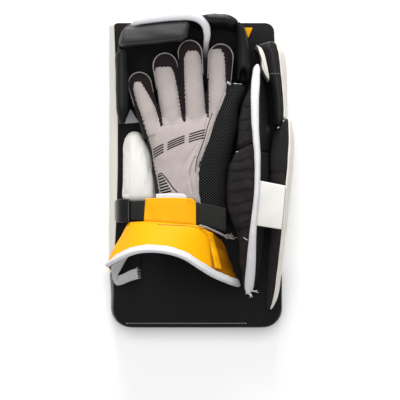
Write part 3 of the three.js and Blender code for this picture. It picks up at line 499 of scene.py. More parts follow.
# A sheet with real thickness behind a grid of points; its edges are drawn out and its ends drawn in
def sheet(name, grid, thickness, material, sign):
    inner = grid - gridNormals(grid) * sign * thickness
    bulge, squeeze = thickness * 0.25, 0.3

    def ringOf(top, bottom, reach):
        sides = [[(top[a] + bottom[a]) / 2 + unit(top[a] - top[b]) * reach] for a, b in ((0, 1), (-1, -2))]
        return np.vstack([sides[0], top, sides[1], bottom[::-1]])

    rings = [ringOf(top, bottom, bulge) for top, bottom in zip(grid, inner)]
    ends = []
    for a, b in ((0, 1), (-1, -2)):
        middle = (grid[a] + inner[a]) / 2
        out = unit(grid[a] - grid[b]) * bulge
        ends.append(ringOf(*(middle + (row - middle) * squeeze + out for row in (grid[a], inner[a])), 0))
    rings = [ends[0], *rings, ends[1]]
    m, size = grid.shape[1], 2 * grid.shape[1] + 2
    strip = [(0, 1, size - 1), (m, m + 1, m + 2)]
    strip += [(k, k + 1, size - k - 1, size - k) for k in range(1, m)]
    last = (len(rings) - 1) * size
    caps = [face[::-1] for face in strip] + [tuple(v + last for v in face) for face in strip]
    return loft(name, rings, material, caps)


# Rings swept along a path: the profile's x runs to the path's side and its y runs up
def levelRings(path, profile):
    tangent = np.gradient(path, axis=0)
    side = unit(np.stack([tangent[:, 1], -tangent[:, 0]], 1))
    profiles = profile if getattr(profile, "ndim", 2) == 3 else np.broadcast_to(profile,
                                                                                (len(path), *profile.shape))
    rings = np.empty((len(path), profiles.shape[1], 3))
    rings[..., 0] = path[:, None, 0] + side[:, None, 0] * profiles[..., 0]
    rings[..., 1] = path[:, None, 1] + side[:, None, 1] * profiles[..., 0]
    rings[..., 2] = path[:, None, 2] + profiles[..., 1]
    return rings


# A round tube along a path, its ends drawn in to small domes
def tube(name, path, radius, material, sides=10):
    path = np.asarray(path, float)
    tangent = unit(np.gradient(path, axis=0))
    side = unit(np.cross(tangent, [0, 0, 1]))
    up = np.cross(side, tangent)
    angles = np.linspace(0, 2 * math.pi, sides, endpoint=False)
    circle = np.cos(angles)[None, :, None] * side[:, None] + np.sin(angles)[None, :, None] * up[:, None]
    radii = np.broadcast_to(np.asarray(radius, float), len(path)).copy()
    radii[0] *= 0.45
    radii[-1] *= 0.45
    return loft(name, path[:, None] + circle * radii[:, None, None], material)


# Places a solid's mesh again as one clean surface, at an even voxel size
def remeshed(piece, voxel, smoothing=0):
    modifier = piece.modifiers.new("remesh", "REMESH")
    modifier.mode = "VOXEL"
    modifier.voxel_size = voxel * mm
    modifier.use_smooth_shade = True
    if smoothing:
        piece.modifiers.new("soften", "SMOOTH").iterations = smoothing
    return applied(piece)


def applied(piece):
    graph = bpy.context.evaluated_depsgraph_get()
    mesh = bpy.data.meshes.new_from_object(piece.evaluated_get(graph))
    old = piece.data
    piece.modifiers.clear()
    piece.data = mesh
    if old.users == 0:
        bpy.data.meshes.remove(old)
    return piece


def joined(name, pieces):
    work = bmesh.new()
    for piece in pieces:
        work.from_mesh(piece.data)
    mesh = bpy.data.meshes.new(name)
    work.to_mesh(mesh)
    work.free()
    mesh.materials.append(pieces[0].data.materials[0])
    for piece in pieces:
        bpy.data.objects.remove(piece)
    return linked(name, mesh)


def duplicate(piece, name):
    return linked(name, piece.data.copy())


# Cuts a piece with another, which is used up
def cut(piece, cutter, operation="DIFFERENCE"):
    modifier = piece.modifiers.new("cut", "BOOLEAN")
    modifier.operation = operation
    modifier.solver = "MANIFOLD"
    modifier.object = cutter
    applied(piece)
    bpy.data.objects.remove(cutter)
    return piece


def valuesOf(items, field, width=1, kind=float):
    values = np.empty(len(items) * width, kind)
    items.foreach_get(field, values)
    return values if width == 1 else values.reshape(-1, width)


def pointsOf(piece):
    return valuesOf(piece.data.vertices, "co", 3) / mm


def normalsOf(piece):
    return valuesOf(piece.data.vertices, "normal", 3)


def setPoints(piece, points):
    piece.data.vertices.foreach_set("co", (points * mm).ravel())
    piece.data.update()


def shadeSmooth(piece):
    piece.data.polygons.foreach_set("use_smooth", [True] * len(piece.data.polygons))


# Heights and normals of finished pieces under points in plan, found from above
def droppedOn(pieces, plan, above=0.25):
    trees = []
    for piece in pieces:
        work = bmesh.new()
        work.from_mesh(piece.data)
        trees.append(BVHTree.FromBMesh(work))
        work.free()
    places, normals = [], []
    for x, y in plan:
        best = None
        for tree in trees:
            hit = tree.ray_cast(Vector((x * mm, y * mm, above)), Vector((0, 0, -1)))
            if hit[0] is not None and (best is None or hit[0].z > best[0].z):
                best = hit
        if best is not None:
            places.append(np.array(best[0]) / mm)
            normals.append(np.array(best[1]))
    return np.array(places), np.array(normals)


# Stitches: one Geometry Nodes tree that lays a small rounded stitch at every step of a path


def makeStitchTree():
    tree = bpy.data.node_groups.new("stitches", "GeometryNodeTree")
    sockets = {"Geometry": "Geometry", "Step": "Float", "Length": "Float", "Width": "Float", "Slant": "Float",
               "Thread": "Material"}
    for name, kind in sockets.items():
        tree.interface.new_socket(name, in_out="INPUT", socket_type=f"NodeSocket{kind}")
    tree.interface.new_socket("Geometry", in_out="OUTPUT", socket_type="NodeSocketGeometry")
    given = tree.nodes.new("NodeGroupInput").outputs

    def put(kind, inputs=None, **settings):
        return addNode(tree, kind, settings, inputs).outputs[0]

    path = put("GeometryNodeMeshToCurve", {0: given["Geometry"]})
    steps = put("GeometryNodeResampleCurve", {0: path, "Length": given["Step"]}, mode="LENGTH")
    up = put("GeometryNodeInputNamedAttribute", {"Name": "up"}, data_type="FLOAT_VECTOR")
    align = "FunctionNodeAlignRotationToVector"
    ahead = put(align, {"Vector": put("GeometryNodeInputTangent")}, axis="X")
    upright = put(align, {"Rotation": ahead, "Vector": up}, axis="Z", pivot_axis="X")
    turn = put("ShaderNodeCombineXYZ", {"Z": given["Slant"]})
    slanted = put("FunctionNodeRotateRotation", {0: upright, 1: turn}, rotation_space="LOCAL")
    bead = put("GeometryNodeMeshUVSphere", {"Segments": 8, "Rings": 5, "Radius": 0.5})
    smooth = put("GeometryNodeSetShadeSmooth", {0: bead})
    size = put("ShaderNodeCombineXYZ", {"X": given["Length"], "Y": given["Width"], "Z": given["Width"]})
    laid = put("GeometryNodeInstanceOnPoints", {
        "Points": steps, "Instance": smooth, "Rotation": slanted, "Scale": size})
    real = put("GeometryNodeRealizeInstances", {0: laid})
    dressed = put("GeometryNodeSetMaterial", {0: real, "Material": given["Thread"]})
    tree.links.new(dressed, tree.nodes.new("NodeGroupOutput").inputs[0])
    return tree


stitchTree = makeStitchTree()


# Several sewn rows become one piece. Each row is its points and the surface's normals there.
def sewn(name, rows, material, slot, step, length, width, slant=0, clear=0.15):
    points, ups, edges = [], [], []
    for path, normals in rows:
        normals = np.broadcast_to(np.asarray(normals, float), np.shape(path))
        start = len(points)
        points.extend((lifted(path) + normals * clear) * mm)
        ups.extend(normals)
        edges.extend((start + k, start + k + 1) for k in range(len(path) - 1))
    mesh = bpy.data.meshes.new(name)
    mesh.from_pydata([tuple(p) for p in points], edges, [])
    mesh.attributes.new("up", "FLOAT_VECTOR", "POINT").data.foreach_set("vector",
                                                                        np.array(ups, float).ravel())
    piece = linked(name, mesh)
    modifier = piece.modifiers.new("stitches", "NODES")
    modifier.node_group = stitchTree
    values = {"Step": step * mm, "Length": length * mm, "Width": width * mm, "Slant": slant,
              "Thread": material}
    for item in stitchTree.interface.items_tree:
        if item.in_out == "INPUT" and item.name in values:
            modifier[item.identifier] = values[item.name]
    return place(applied(piece), slot)


# Every finished piece is attached to the root body, and the nodes it stands for are hidden
def place(piece, slot, replaces=(), padding=None):
    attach(piece, "root")
    if replaces:
        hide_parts(*replaces)
    return piece


# A sheet's cut size is measured along its own grid of points, in metres
def addSheet(name, grid, thickness, material, slot, nodes, sign=None):
    piece = place(sheet(name, grid, thickness, material, sign or facing(grid)), slot, nodes)
    grid = lifted(grid) * mm
    across = norm(np.diff(grid, axis=1), axis=2).sum(1).max()
    along = norm(np.diff(grid, axis=0), axis=2).sum(0).max()
    a, b, c, d = grid[:-1, :-1], grid[1:, :-1], grid[1:, 1:], grid[:-1, 1:]
    area = 0.5 * (norm(np.cross(b - a, c - a), axis=2) + norm(np.cross(c - a, d - a), axis=2)).sum()
    print("sheet", name, round(float(across), 3), round(float(along), 3), round(float(area), 4))
    return piece


# How far an edge with a round corner stands in, at some way from the corner's end
def arcInset(radius, into):
    past = np.maximum(0, radius - into)
    return radius - np.sqrt(np.maximum(0, radius * radius - past * past))


# Both ends of a lofted pad are rounded over, with extra rings where the turn is
def roundEnds(rings, radius, steps=5):
    rings = np.asarray(rings, float)
    centres = rings.mean(1)
    places = pathLengths(centres)
    total = places[-1]
    turn = radius * (1 - np.cos(np.linspace(0, math.pi / 2, steps)))
    middle = places[(places > radius * 1.05) & (places < total - radius * 1.05)]
    wanted = np.concatenate([turn, middle, total - turn[::-1]])
    flat = rings.reshape(len(rings), -1)
    moved = np.stack([np.interp(wanted, places, flat[:, k]) for k in range(flat.shape[1])], 1)
    moved = moved.reshape(len(wanted), *rings.shape[1:])
    for k, at in enumerate(wanted):
        d = min(at, total - at)
        if d < radius:
            inset = arcInset(radius, d)
            centre = moved[k].mean(0)
            out = moved[k] - centre
            reach = norm(out, axis=1, keepdims=True)
            moved[k] = centre + out * np.maximum(0.15, 1 - inset / np.maximum(reach, 1e-6))
    return moved


def boxUv(piece):
    mesh = piece.data
    mesh = piece.data
    layer = mesh.uv_layers.get("UVMap") or mesh.uv_layers.new(name="UVMap")
    faceAxis = np.abs(valuesOf(mesh.polygons, "normal", 3)).argmax(1)
    axis = np.repeat(faceAxis, valuesOf(mesh.polygons, "loop_total", kind=int))[:, None]
    co = pointsOf(piece)[valuesOf(mesh.loops, "vertex_index", kind=int)] * mm
    uv = np.where(axis == 2, co[:, [0, 1]], np.where(axis == 0, co[:, [1, 2]], co[:, [0, 2]]))
    layer.data.foreach_set("uv", uv.ravel())


# Padded cloth: an even mesh, swollen by the cloth solver between its pinned seams
def puffed(piece, pinned, voxel=4.5, pressure=4, cap=2.5, growth=0.02, bending=0.4):
    remeshed(piece, voxel)
    points = pointsOf(piece)
    group = piece.vertex_groups.new(name="pinned")
    for k in np.nonzero(pinned(points))[0]:
        group.add([int(k)], 1, "REPLACE")
    cloth = piece.modifiers.new("cloth", "CLOTH")
    for key, value in {
            "quality": 6, "mass": 0.25, "tension_stiffness": 14, "compression_stiffness": 14,
            "bending_stiffness": bending, "use_pressure": True, "uniform_pressure_force": pressure,
            "shrink_min": -growth, "vertex_group_mass": "pinned"}.items():
        setattr(cloth.settings, key, value)
    cloth.settings.effector_weights.gravity = 0
    for frame in range(1, 21):
        bpy.context.scene.frame_set(frame)
    applied(piece)
    bpy.context.scene.frame_set(1)
    moved = pointsOf(piece) - points
    far = norm(moved, axis=1, keepdims=True)
    setPoints(piece, points + moved * np.minimum(1, cap / np.maximum(far, 1e-6)))
    piece.vertex_groups.clear()
    finer = piece.modifiers.new("finer", "SUBSURF")
    finer.levels = 2
    finer.render_levels = 2
    applied(piece)
    shadeSmooth(piece)


# Moves each point along its normal by an amount in millimetres
def displaced(piece, amount):
    setPoints(piece, pointsOf(piece) + normalsOf(piece) * amount[:, None])
    return piece


def setMaterial(piece, material):
    piece.data.materials.clear()
    piece.data.materials.append(material)
    piece.data.polygons.foreach_set("material_index", [0] * len(piece.data.polygons))


# The board: a foam slab in leather with its little-finger edge sloped, a black elbow wrap and a
# black cloth cover on its back

board = {
    "left": -104.2, "right": 99, "elbowEnd": -179.2, "fingerEnd": 177, "thickness": 28, "elbowCorner": 22.5,
    "littleCorner": 4, "thumbCorner": 10, "taperStart": -60, "taperReach": 9, "wrapSeam": -115,
    "coverEdge": 1.5, "coverShrink": 0.9916, "edgeRound": 4.5, "coverLow": 28.4, "coverHigh": 30.4,
}
slopeRows = [(-181, 2.4), (-146, 3.5), (-76, 7.6), (-30, 9.6), (17, 10.5), (57, 10.5), (133, 8), (177, 6.6)]
slopeInset = tableCurves(("inset",), slopeRows)["inset"]
padBase = 30.8


def fromEnd(y):
    return y - board["elbowEnd"] if y < 0 else board["fingerEnd"] - y


def boardSides(y):
    into = fromEnd(y)
    left = board["left"] + arcInset(board["elbowCorner" if y < 0 else "littleCorner"], into)
    left += 2.2 * min(1, max(0, (-110 - y) / 30))
    taper = max(0, board["taperReach"] * (y - board["taperStart"])
                / (board["fingerEnd"] - board["taperStart"]))
    right = board["right"] - taper - arcInset(board["elbowCorner" if y < 0 else "thumbCorner"], into)
    return left, right


def boardRing(y):
    left, right = boardSides(y)
    slope = float(slopeInset(y))
    thick = board["thickness"]
    corners = [(left, 0), (left, 13), (left + slope + 1, thick), (right, thick), (right, 0)]
    outline = evenRing(roundedOutline(corners, [4, 9, 4, 5, 4], 6), 72)
    shrink = arcInset(board["edgeRound"], fromEnd(y))
    outline[:, 1] = thick / 2 + (outline[:, 1] - thick / 2) * (1 - 2 * shrink / thick)
    return section(outline, y)


def boardStations(first, last):
    low, high = board["elbowEnd"], board["fingerEnd"]
    turn = np.array([0, 0.2, 0.6, 1.2, 2, 3, 4.5, 6, 8, 11, 14, 18, 22, 26])
    every = np.concatenate([low + turn, np.arange(low + 30, high - 28, 5), high - turn])
    inside = [y for y in sorted(set(every)) if first + 0.5 < y < last - 0.5]
    return [first] + inside + [last]


def addBoard():
    seam = board["wrapSeam"]
    for name, first, last, material, slot, node in (
            ("boardBody", seam, board["fingerEnd"], whiteLeather, "white_leather", "board"),
            ("elbowWrap", board["elbowEnd"], seam - 0.5, blackLeather, "black_leather", "board_elbow_wrap")):
        rings = np.array([boardRing(y) for y in boardStations(first, last)])
        soft = ripple(rings.reshape(-1, 3), 60, 3).reshape(rings.shape[:2]) * 0.3
        rings[..., 2] += np.where(rings[..., 2] > 20, soft, 0)
        rings[..., 0] += np.where((rings[..., 2] > 6) & (rings[..., 0] < -80), soft, 0)
        atSeam = 0 if name == "boardBody" else -1
        centre = rings[atSeam].mean(0)
        rings[atSeam] = centre + (rings[atSeam] - centre) * [0.994, 1, 0.994]
        piece = loft(name, rings, material)
        place(piece, slot, [node], padding=0.9 if name == "boardBody" else None)


def coverGrid():
    rows = []
    for y in boardStations(board["elbowEnd"], board["fingerEnd"]):
        left, right = boardSides(y)
        x0, x1 = left + float(slopeInset(y)) + 1, right - board["coverEdge"]
        u = 0.5 - 0.5 * np.cos(np.linspace(0, math.pi, 61))
        x = x0 + (x1 - x0) * u
        edge = np.minimum(np.minimum(x - x0, x1 - x), fromEnd(y))
        z = board["coverHigh"] - 0.5 * np.exp(-edge / 2.5)
        rows.append(np.column_stack([x, np.full(len(x), y * board["coverShrink"]), z]))
    grid = np.array(rows)
    waves = ripple(grid.reshape(-1, 3), 55, 11).reshape(grid.shape[:2]) * 0.22
    ends = np.minimum(grid[..., 1] - board["elbowEnd"], board["fingerEnd"] - grid[..., 1])
    inside = np.clip((ends - 6) / 20, 0, 1)
    grid[..., 2] += waves * inside
    return grid


def addCover():
    grid = coverGrid()
    # The cover's cloth carries a painted sheen at the finger end
    cover = addSheet("backCover", grid, board["coverHigh"] - board["coverLow"] - 0.5, nylonCloth, "nylon",
                     ["board_back_cover"])
    row = np.column_stack([np.linspace(-82, 56, 80), np.full(80, -173.6),
                           np.full(80, board["coverHigh"] + 0.15)])
    sewn("coverStitches", [(row, (0, 0, 1))], whiteThread, "binding", step=3.3, length=1.1, width=1.15)
    return cover


inlay = {"corners": [(54.8, 170), (64.1, 170), (58.9, 157.8)], "base": padBase - 0.35}


# A small plain triangle by the finger end, raised and rimmed
def addInlay():
    ring = evenRing(roundedOutline(inlay["corners"], [1, 1, 1]), 45)
    base = inlay["base"]
    levels = [(1, base), (1, base + 0.5), (0.97, base + 0.75), (0.9, base + 0.8)]
    place(loft("triangleInlay", levelStack(ring, levels), yellowLeather), "yellow_leather", ["board_inlay"])


addBoard()
backCover = addCover()
addInlay()
print("board is made")

# The glove: palm, fingers and thumb as one soft skin, then cut into its three leathers

glove = {
    "wall": 1.8, "voxel": 1.15, "seamGap": 0.35, "palmFloor": 60, "thumbFloor": 44, "scallop": 1.1,
    "scallopStep": 4.6, "seamDepth": 0.9, "seamWidth": 1.7, "puff": 0.9, "pucker": 0.2,
}
palmRows = [  # y, left, right, low, high
    (-62, -46, 31, 30.8, 70), (-36, -46, 31, 30.8, 74), (-7, -48.5, 32, 30.8, 76),
    (27, -54.5, 36, 30.8, 75.5), (46, -60.5, 36, 31.8, 74), (60, -62, 35, 35.8, 70), (67, -58, 32, 42.8, 64),
]
fingerRows = [  # root, tip, width at root and tip
    ("little", (-50.5, 44), (-69.4, 115.8), (24, 27)), ("ring", (-26.5, 46), (-38.7, 137.9), (25, 28.4)),
    ("middle", (-1.5, 48), (-9.5, 152.4), (24.5, 28)), ("index", (22, 50), (27.4, 148.2), (24.4, 29.4)),
]
fingerForm = {"rootDepth": 36, "tipDepth": 23, "rootHeight": 53, "tipHeight": 57, "tipRound": 0.55,
              "joint": 0.5}
thumbRows = [  # y, x, z, width, depth
    (-62, 17.6, 49, 30, 35), (-36, 17.6, 51.5, 30, 40), (-7, 17.8, 55.5, 30.6, 43), (22, 22, 58, 33, 43),
    (50, 30, 60, 30, 38), (79, 37.5, 61, 22, 32), (92, 43.5, 61, 22, 28), (99, 45.8, 61, 19, 23),
    (103.5, 46.2, 61, 12, 14),
]
thumbSeam = [
    (36.6, 103), (32.6, 92.8), (28.4, 81.5), (23.4, 68.5), (17.2, 51.9), (11, 32.6), (6.4, 20.1), (3.3, 9.9),
    (1.2, -7.2), (1.6, -20.8), (4.1, -34.4), (5.5, -80),
]
palmEdge = [
    (-43.5, -80), (-43.5, -47), (-43.3, -23), (-46, -7), (-49.7, 10), (-52, 27), (-55.4, 38.6), (-59.4, 52),
    (-64, 67), (-70.4, 84.3), (-73.2, 97), (-71.8, 104.8), (-64.8, 105), (-60.5, 98), (-54.8, 88.8),
    (-48.4, 76.3), (-44.4, 63.7), (-42.3, 54), (-39.2, 54), (-40.6, 66), (-43.6, 80), (-47, 96), (-49.8, 115),
    (-46.8, 121.6), (-30.2, 122), (-26.6, 115), (-22.8, 97), (-20.4, 81), (-18.4, 68), (-16.4, 59),
    (-13.2, 59), (-13.4, 72), (-14, 88), (-14.9, 112.8), (-15.2, 132.2), (-11.6, 139.8), (-0.2, 140.2),
    (3.3, 134.4), (6.2, 118), (7.8, 104.8), (9.2, 88), (10.4, 75), (11.2, 64), (13, 64), (13.2, 78), (13, 96),
    (12.6, 118.5), (12.8, 134), (15, 142.2), (26.4, 142.8), (30.2, 136.6), (31.6, 123), (32, 107),
    (33.6, 100),
]


def ovalPoints(count, power):
    angle = np.linspace(0, 2 * math.pi, count, endpoint=False)
    c, s = np.cos(angle), np.sin(angle)
    return np.sign(c) * np.abs(c) ** (2 / power), np.sign(s) * np.abs(s) ** (2 / power)


def ovalRing(x, y, z, halfWidth, halfDepth, oval):
    return np.column_stack([x + halfWidth * oval[0], np.full(len(oval[0]), y), z + halfDepth * oval[1]])


# A finger's measures at some way along it, with how far its round tip has closed there
def fingerAt(length, width, at):
    form, share = fingerForm, min(1, at / length)
    tipRound = width[1] * form["tipRound"]
    closed = min(1, max(0, (at - length + tipRound) / tipRound))
    depth = form["rootDepth"] + (form["tipDepth"] - form["rootDepth"]) * share
    height = form["rootHeight"] + (form["tipHeight"] - form["rootHeight"]) * share
    return share, closed, (width[0] + (width[1] - width[0]) * share) / 2, depth / 2, height


def handParts(inset, pastWrist, count):
    oval = ovalPoints(count, 2.6)
    curves = tableCurves(("left", "right", "low", "high"), palmRows)
    rings = []
    for y in np.linspace(-62 - pastWrist, 67 - inset, 40):
        left, right, low, high = (curve(y) for curve in curves.values())
        halfWidth, halfDepth = (right - left) / 2 - inset, (high - low) / 2 - inset
        rings.append(ovalRing((left + right) / 2, y, (low + high) / 2, halfWidth, halfDepth, oval))
    parts = [roundTip(rings, 5 if inset == 0 else 0)]
    oval = ovalPoints(count // 2, 2.4)
    for name, root, tip, width in fingerRows:
        axis = np.subtract(tip, root)
        length = norm(axis) - inset
        axis = unit(axis)
        tipRound = width[1] * fingerForm["tipRound"]
        into = np.sin(np.linspace(0, math.pi / 2, 9)) * tipRound * 0.995
        rings = []
        for at in np.concatenate([np.linspace(0, length - tipRound, 26)[:-1], length - tipRound + into]):
            share, closed, halfWidth, halfDepth, height = fingerAt(length, width, at)
            narrow = math.sqrt(1 - closed * closed)
            joints = fingerForm["joint"] * math.cos(2 * math.pi * share * 2.6) * (1 - closed)
            across = oval[0] * (halfWidth - inset + joints * 0.5) * narrow
            z = height + oval[1] * (halfDepth - inset + joints * 0.6) * narrow
            rings.append(np.column_stack([
                root[0] + axis[0] * at + axis[1] * across, root[1] + axis[1] * at - axis[0] * across, z]))
        parts.append(np.array(rings))
    curves = tableCurves(("x", "z", "width", "depth"), thumbRows)
    rings = []
    tipPlaces = [94, 96, 98, 100, 101.5, 102.6, 103.5 - inset]
    for y in np.concatenate([np.linspace(-62 - pastWrist, 92, 50), tipPlaces]):
        x, z, width, depth = (curve(y) for curve in curves.values())
        rings.append(ovalRing(x, y, z, max(1.5, width / 2 - inset), max(1.5, depth / 2 - inset), oval))
    return parts + [roundTip(rings, 3 if inset == 0 else 0)]


# Only the fingertip end of a loft is rounded; its wrist end stays a clean cut
def roundTip(rings, radius):
    if radius == 0:
        return np.asarray(rings)
    rounded = roundEnds(rings, radius)
    half = len(rounded) // 2
    start = rounded[half].mean(0)[1] - 0.5
    return np.concatenate([[r for r in rings if r.mean(0)[1] < start], rounded[half:]])


def handSkin(name, inset, pastWrist, count, voxel, smoothing):
    pieces = [loft(f"{name}{k}", rings, gloveKnit) for k,
              rings in enumerate(handParts(inset, pastWrist, count))]
    return remeshed(joined(name, pieces), voxel, smoothing)


# Distance from points in plan to a line, and how far along the line that is
def lineDistance(points, line, closed=False):
    if closed:
        line = np.vstack([line, line[:1]])
    dense = evenPath(line, 0.4)
    tree = KDTree(len(dense))
    for k, (x, y) in enumerate(dense):
        tree.insert((x, y, 0), k)
    tree.balance()
    found = [tree.find((x, y, 0)) for x, y in points[:, :2]]
    return np.array([f[2] for f in found]), np.array([f[1] for f in found]) * 0.4


def insideOutline(points, outline):
    x, y = points[:, 0], points[:, 1]
    inside = np.zeros(len(points), bool)
    for k in range(len(outline)):
        (x0, y0), (x1, y1) = outline[k - 1], outline[k]
        if y0 != y1:
            inside ^= ((y0 > y) != (y1 > y)) & (x < (x1 - x0) * (y - y0) / (y1 - y0) + x0)
    return inside


# Unit vectors that point out of a closed outline
def outOf(outline):
    tangent = np.roll(outline, -1, 0) - np.roll(outline, 1, 0)
    x, y = outline.T
    area = (x * np.roll(y, -1) - np.roll(x, -1) * y).sum()
    return unit(np.stack([tangent[:, 1], -tangent[:, 0]], 1)) * (1.0 if area > 0 else -1)


def shifted(outline, distance):
    return outline + outOf(outline) * distance


# A dense outline, smoothed, with small scallops where the leather is gathered by its stitches
def scalloped(corners, height, step):
    dense = evenPath(np.vstack([corners, corners[:1]]), 0.45)[:-1]
    for _ in range(14):
        dense = (np.roll(dense, 1, 0) + 2 * dense + np.roll(dense, -1, 0)) / 4
    s = np.arange(len(dense)) * 0.45
    wave = np.abs(np.sin(math.pi * s / step + 1.3 * np.sin(s / 17) + 0.9 * np.sin(s / 6.1)))
    size = 0.65 + 0.35 * np.sin(s / 9.7) + 0.25 * np.sin(s / 4.3)
    return dense + outOf(dense) * ((wave - 0.6) * height * size)[:, None]


def prismPiece(name, outline, low, high):
    n = len(outline)
    points = np.vstack([np.column_stack([outline, np.full(n, z)]) for z in (low, high)]) * mm
    faces = [[k, (k + 1) % n, n + (k + 1) % n, n + k] for k in range(n)]
    mesh = bpy.data.meshes.new(name)
    mesh.from_pydata(points.tolist(), [], faces + [list(range(n))[::-1], list(range(n, 2 * n))])
    work = bmesh.new()
    work.from_mesh(mesh)
    bmesh.ops.triangulate(work, faces=[f for f in work.faces if len(f.verts) > 4])
    bmesh.ops.recalc_face_normals(work, faces=work.faces)
    work.to_mesh(mesh)
    work.free()
    return linked(name, mesh)


def addGlove():
    seamLine = splinePath(thumbSeam, 120)
    palmCorners = np.array(palmEdge + [(x - 0.4, y) for x, y in thumbSeam[1:]], float)
    palmOutline = scalloped(palmCorners, glove["scallop"], glove["scallopStep"])
    plainOutline = scalloped(palmCorners, 0, 4)
    sleeveOutline = np.vstack([seamLine, [[90, -80], [90, 108], [38, 108]]])
    skin = handSkin("gloveSkin", 0, 0, 96, glove["voxel"], 6)
    points, normals = pointsOf(skin), normalsOf(skin)
    up = np.clip(normals[:, 2] * 2, 0, 1)
    edge, along = lineDistance(points, plainOutline, closed=True)
    inside = insideOutline(points, plainOutline)
    seam, _ = lineDistance(points, seamLine)
    valley = -glove["seamDepth"] * np.exp(-(edge / glove["seamWidth"]) ** 2)
    swell = np.where(inside, glove["puff"] * (1 - np.exp(-edge / 4.5)), 0.15 * (1 - np.exp(-edge / 3)))
    pucker = glove["pucker"] * np.sin(2 * math.pi * along / glove["scallopStep"]) * np.exp(-(edge / 3.2) ** 2)
    amount = up * (valley + swell + pucker)
    amount += 0.28 * ripple(points * [1.4, 0.7, 1], 17, 5) * up * np.where(inside, 1, 0.6)
    amount += -0.8 * np.exp(-(seam / 1.3) ** 2) * up
    for crease in sleeveCreases:
        away, _ = lineDistance(points, splinePath(crease, 40))
        amount += up * (-0.9 * np.exp(-(away / 1.2) ** 2) + 0.4 * np.exp(-((away - 3.4) / 1.6) ** 2))
    for crease in palmCreases:
        away, _ = lineDistance(points, splinePath(crease, 30))
        amount += up * -0.5 * np.exp(-(away / 1.1) ** 2)
    displaced(skin, amount)
    shell = cut(skin, handSkin("gloveHollow", glove["wall"], 6, 48, 2.2, 2))
    low, floor, high, gap = glove["palmFloor"], glove["thumbFloor"], 120, glove["seamGap"]
    palm = duplicate(shell, "palmLeather")
    cut(palm, prismPiece("palmCutter", palmOutline, low, high), "INTERSECT")
    sleeve = duplicate(shell, "thumbSleeve")
    cut(sleeve, prismPiece("sleeveCutter", sleeveOutline, floor, high), "INTERSECT")
    shell.name = "gloveBack"
    for outline, start in ((palmOutline, low), (sleeveOutline, floor)):
        cut(shell, prismPiece("backCutter", shifted(outline, gap), start - gap, high))
    for piece, material, slot, node in (
            (palm, palmSuede, "suede", "glove_palm"), (shell, gloveKnit, "glove_knit", "glove_back"),
            (sleeve, meshCloth, "air_mesh", "glove_thumb_sleeve")):
        setMaterial(piece, material)
        shadeSmooth(piece)
        boxUv(piece)
        place(piece, slot, [node])
    thumbUv(sleeve)
    print("glove triangles",
          [sum(len(p.vertices) - 2 for p in o.data.polygons) for o in (palm, shell, sleeve)])
    return palm, shell, sleeve, plainOutline, seamLine


# The sleeve's cloth runs round the thumb, so its map is the way round against the way along
def thumbUv(sleeve):
    mesh, points = sleeve.data, pointsOf(sleeve)
    curves = tableCurves(("x", "z", "width", "depth"), thumbRows)
    y = points[:, 1]
    angle = np.arctan2(points[:, 0] - curves["x"](y), points[:, 2] - curves["z"](y))
    around = np.column_stack([angle * 19, y])[valuesOf(mesh.loops, "vertex_index", kind=int)]
    mesh.uv_layers["UVMap"].data.foreach_set("uv", (around * mm).ravel())


# Where a mark of the photograph lies, at a height above the floor

def photoMm(u, v, z):
    k = 1.185 * (1 - z / 1800)
    return 3.0 + (u - 200) * k, -29.9 - (v - 200) * k


sleeveCreases = [
    [photoMm(u, v, 78) for u, v in ((208, 118), (204, 136), (203, 147), (198, 168))],
    [photoMm(u, v, 76) for u, v in ((195, 158), (190, 175), (191, 192), (194, 204))],
]
palmCreases = [
    [photoMm(u, v, 76) for u, v in ((147, 150), (160, 128), (178, 124), (196, 118))],
    [photoMm(u, v, 76) for u, v in ((176, 196), (182, 170), (196, 146))],
]
palmLeather, gloveBack, thumbSleeve, palmOutline, seamLine = addGlove()
print("glove is made")

# The guard round three fingers: a wall on the board, two padded rolls and a white folded edge

fingerGuard = {
    "wall": 4, "tapeWidth": 7.4, "tapeHeight": 8, "tapeSlot": 5.2, "tapeFold": 1.2, "tapeEndY": 112,
    "lean": 3.5, "leanFrom": 158, "leanTo": 172, "topRoll": (11.2, 11.2), "sideRoll": (7.5, 12.5),
    "slant": 0.34,
}
fingerGuardRows = [
    (-90.2, 58, 49), (-90.4, 85, 50), (-90.2, 120, 50), (-89.5, 146, 50), (-86.5, 159, 55), (-80, 166.6, 66),
    (-70, 170, 83), (-53, 172.6, 86), (-30, 175, 87), (-10, 175.8, 87), (0.5, 173.2, 86), (7.5, 167.4, 83),
    (10.6, 158, 77), (10.6, 147, 66), (10.2, 137, 55), (10, 127, 46), (10, 115, 40), (10, 103, 36),
]

fingerTapeWidths = smoothThrough(
    [0, 5, 14, 30, 67, 80, 92, 102, 112, 122, 142], [5.2, 7.2, 9, 9.8, 10.2, 9.8, 9.4, 8.4, 7, 6.2, 6])


# A tape folded over an edge, as a channel with its mouth down
def tapeOutline(width, height, slot, fold, count=52):
    w, s = width / 2, slot / 2
    corners = [
        (w * 0.92, -height), (w, -height * 0.5), (w * 0.94, -height * 0.2), (w * 0.6, 0.35), (0, 0.9),
        (-w * 0.6, 0.35), (-w * 0.94, -height * 0.2), (-w, -height * 0.5), (-w * 0.92, -height),
        (-s, -height), (-s, -fold), (s, -fold), (s, -height),
    ]
    return evenRing(roundedOutline(corners, [0.4, 1.5, 1.5, 1.5, 1.5, 1.5, 1.5, 1.5, 0.4, 0.3, 0.4, 0.4, 0.3],
                                   4), count)


def wavyProfiles(profile, path, across, up, seed):
    wide = 1 + across * ripple(path, 26, seed)
    high = up * ripple(path, 19, seed + 1)
    profiles = np.repeat(profile[None], len(path), 0).copy()
    profiles[..., 0] *= wide[:, None]
    profiles[..., 1] += high[:, None]
    return profiles


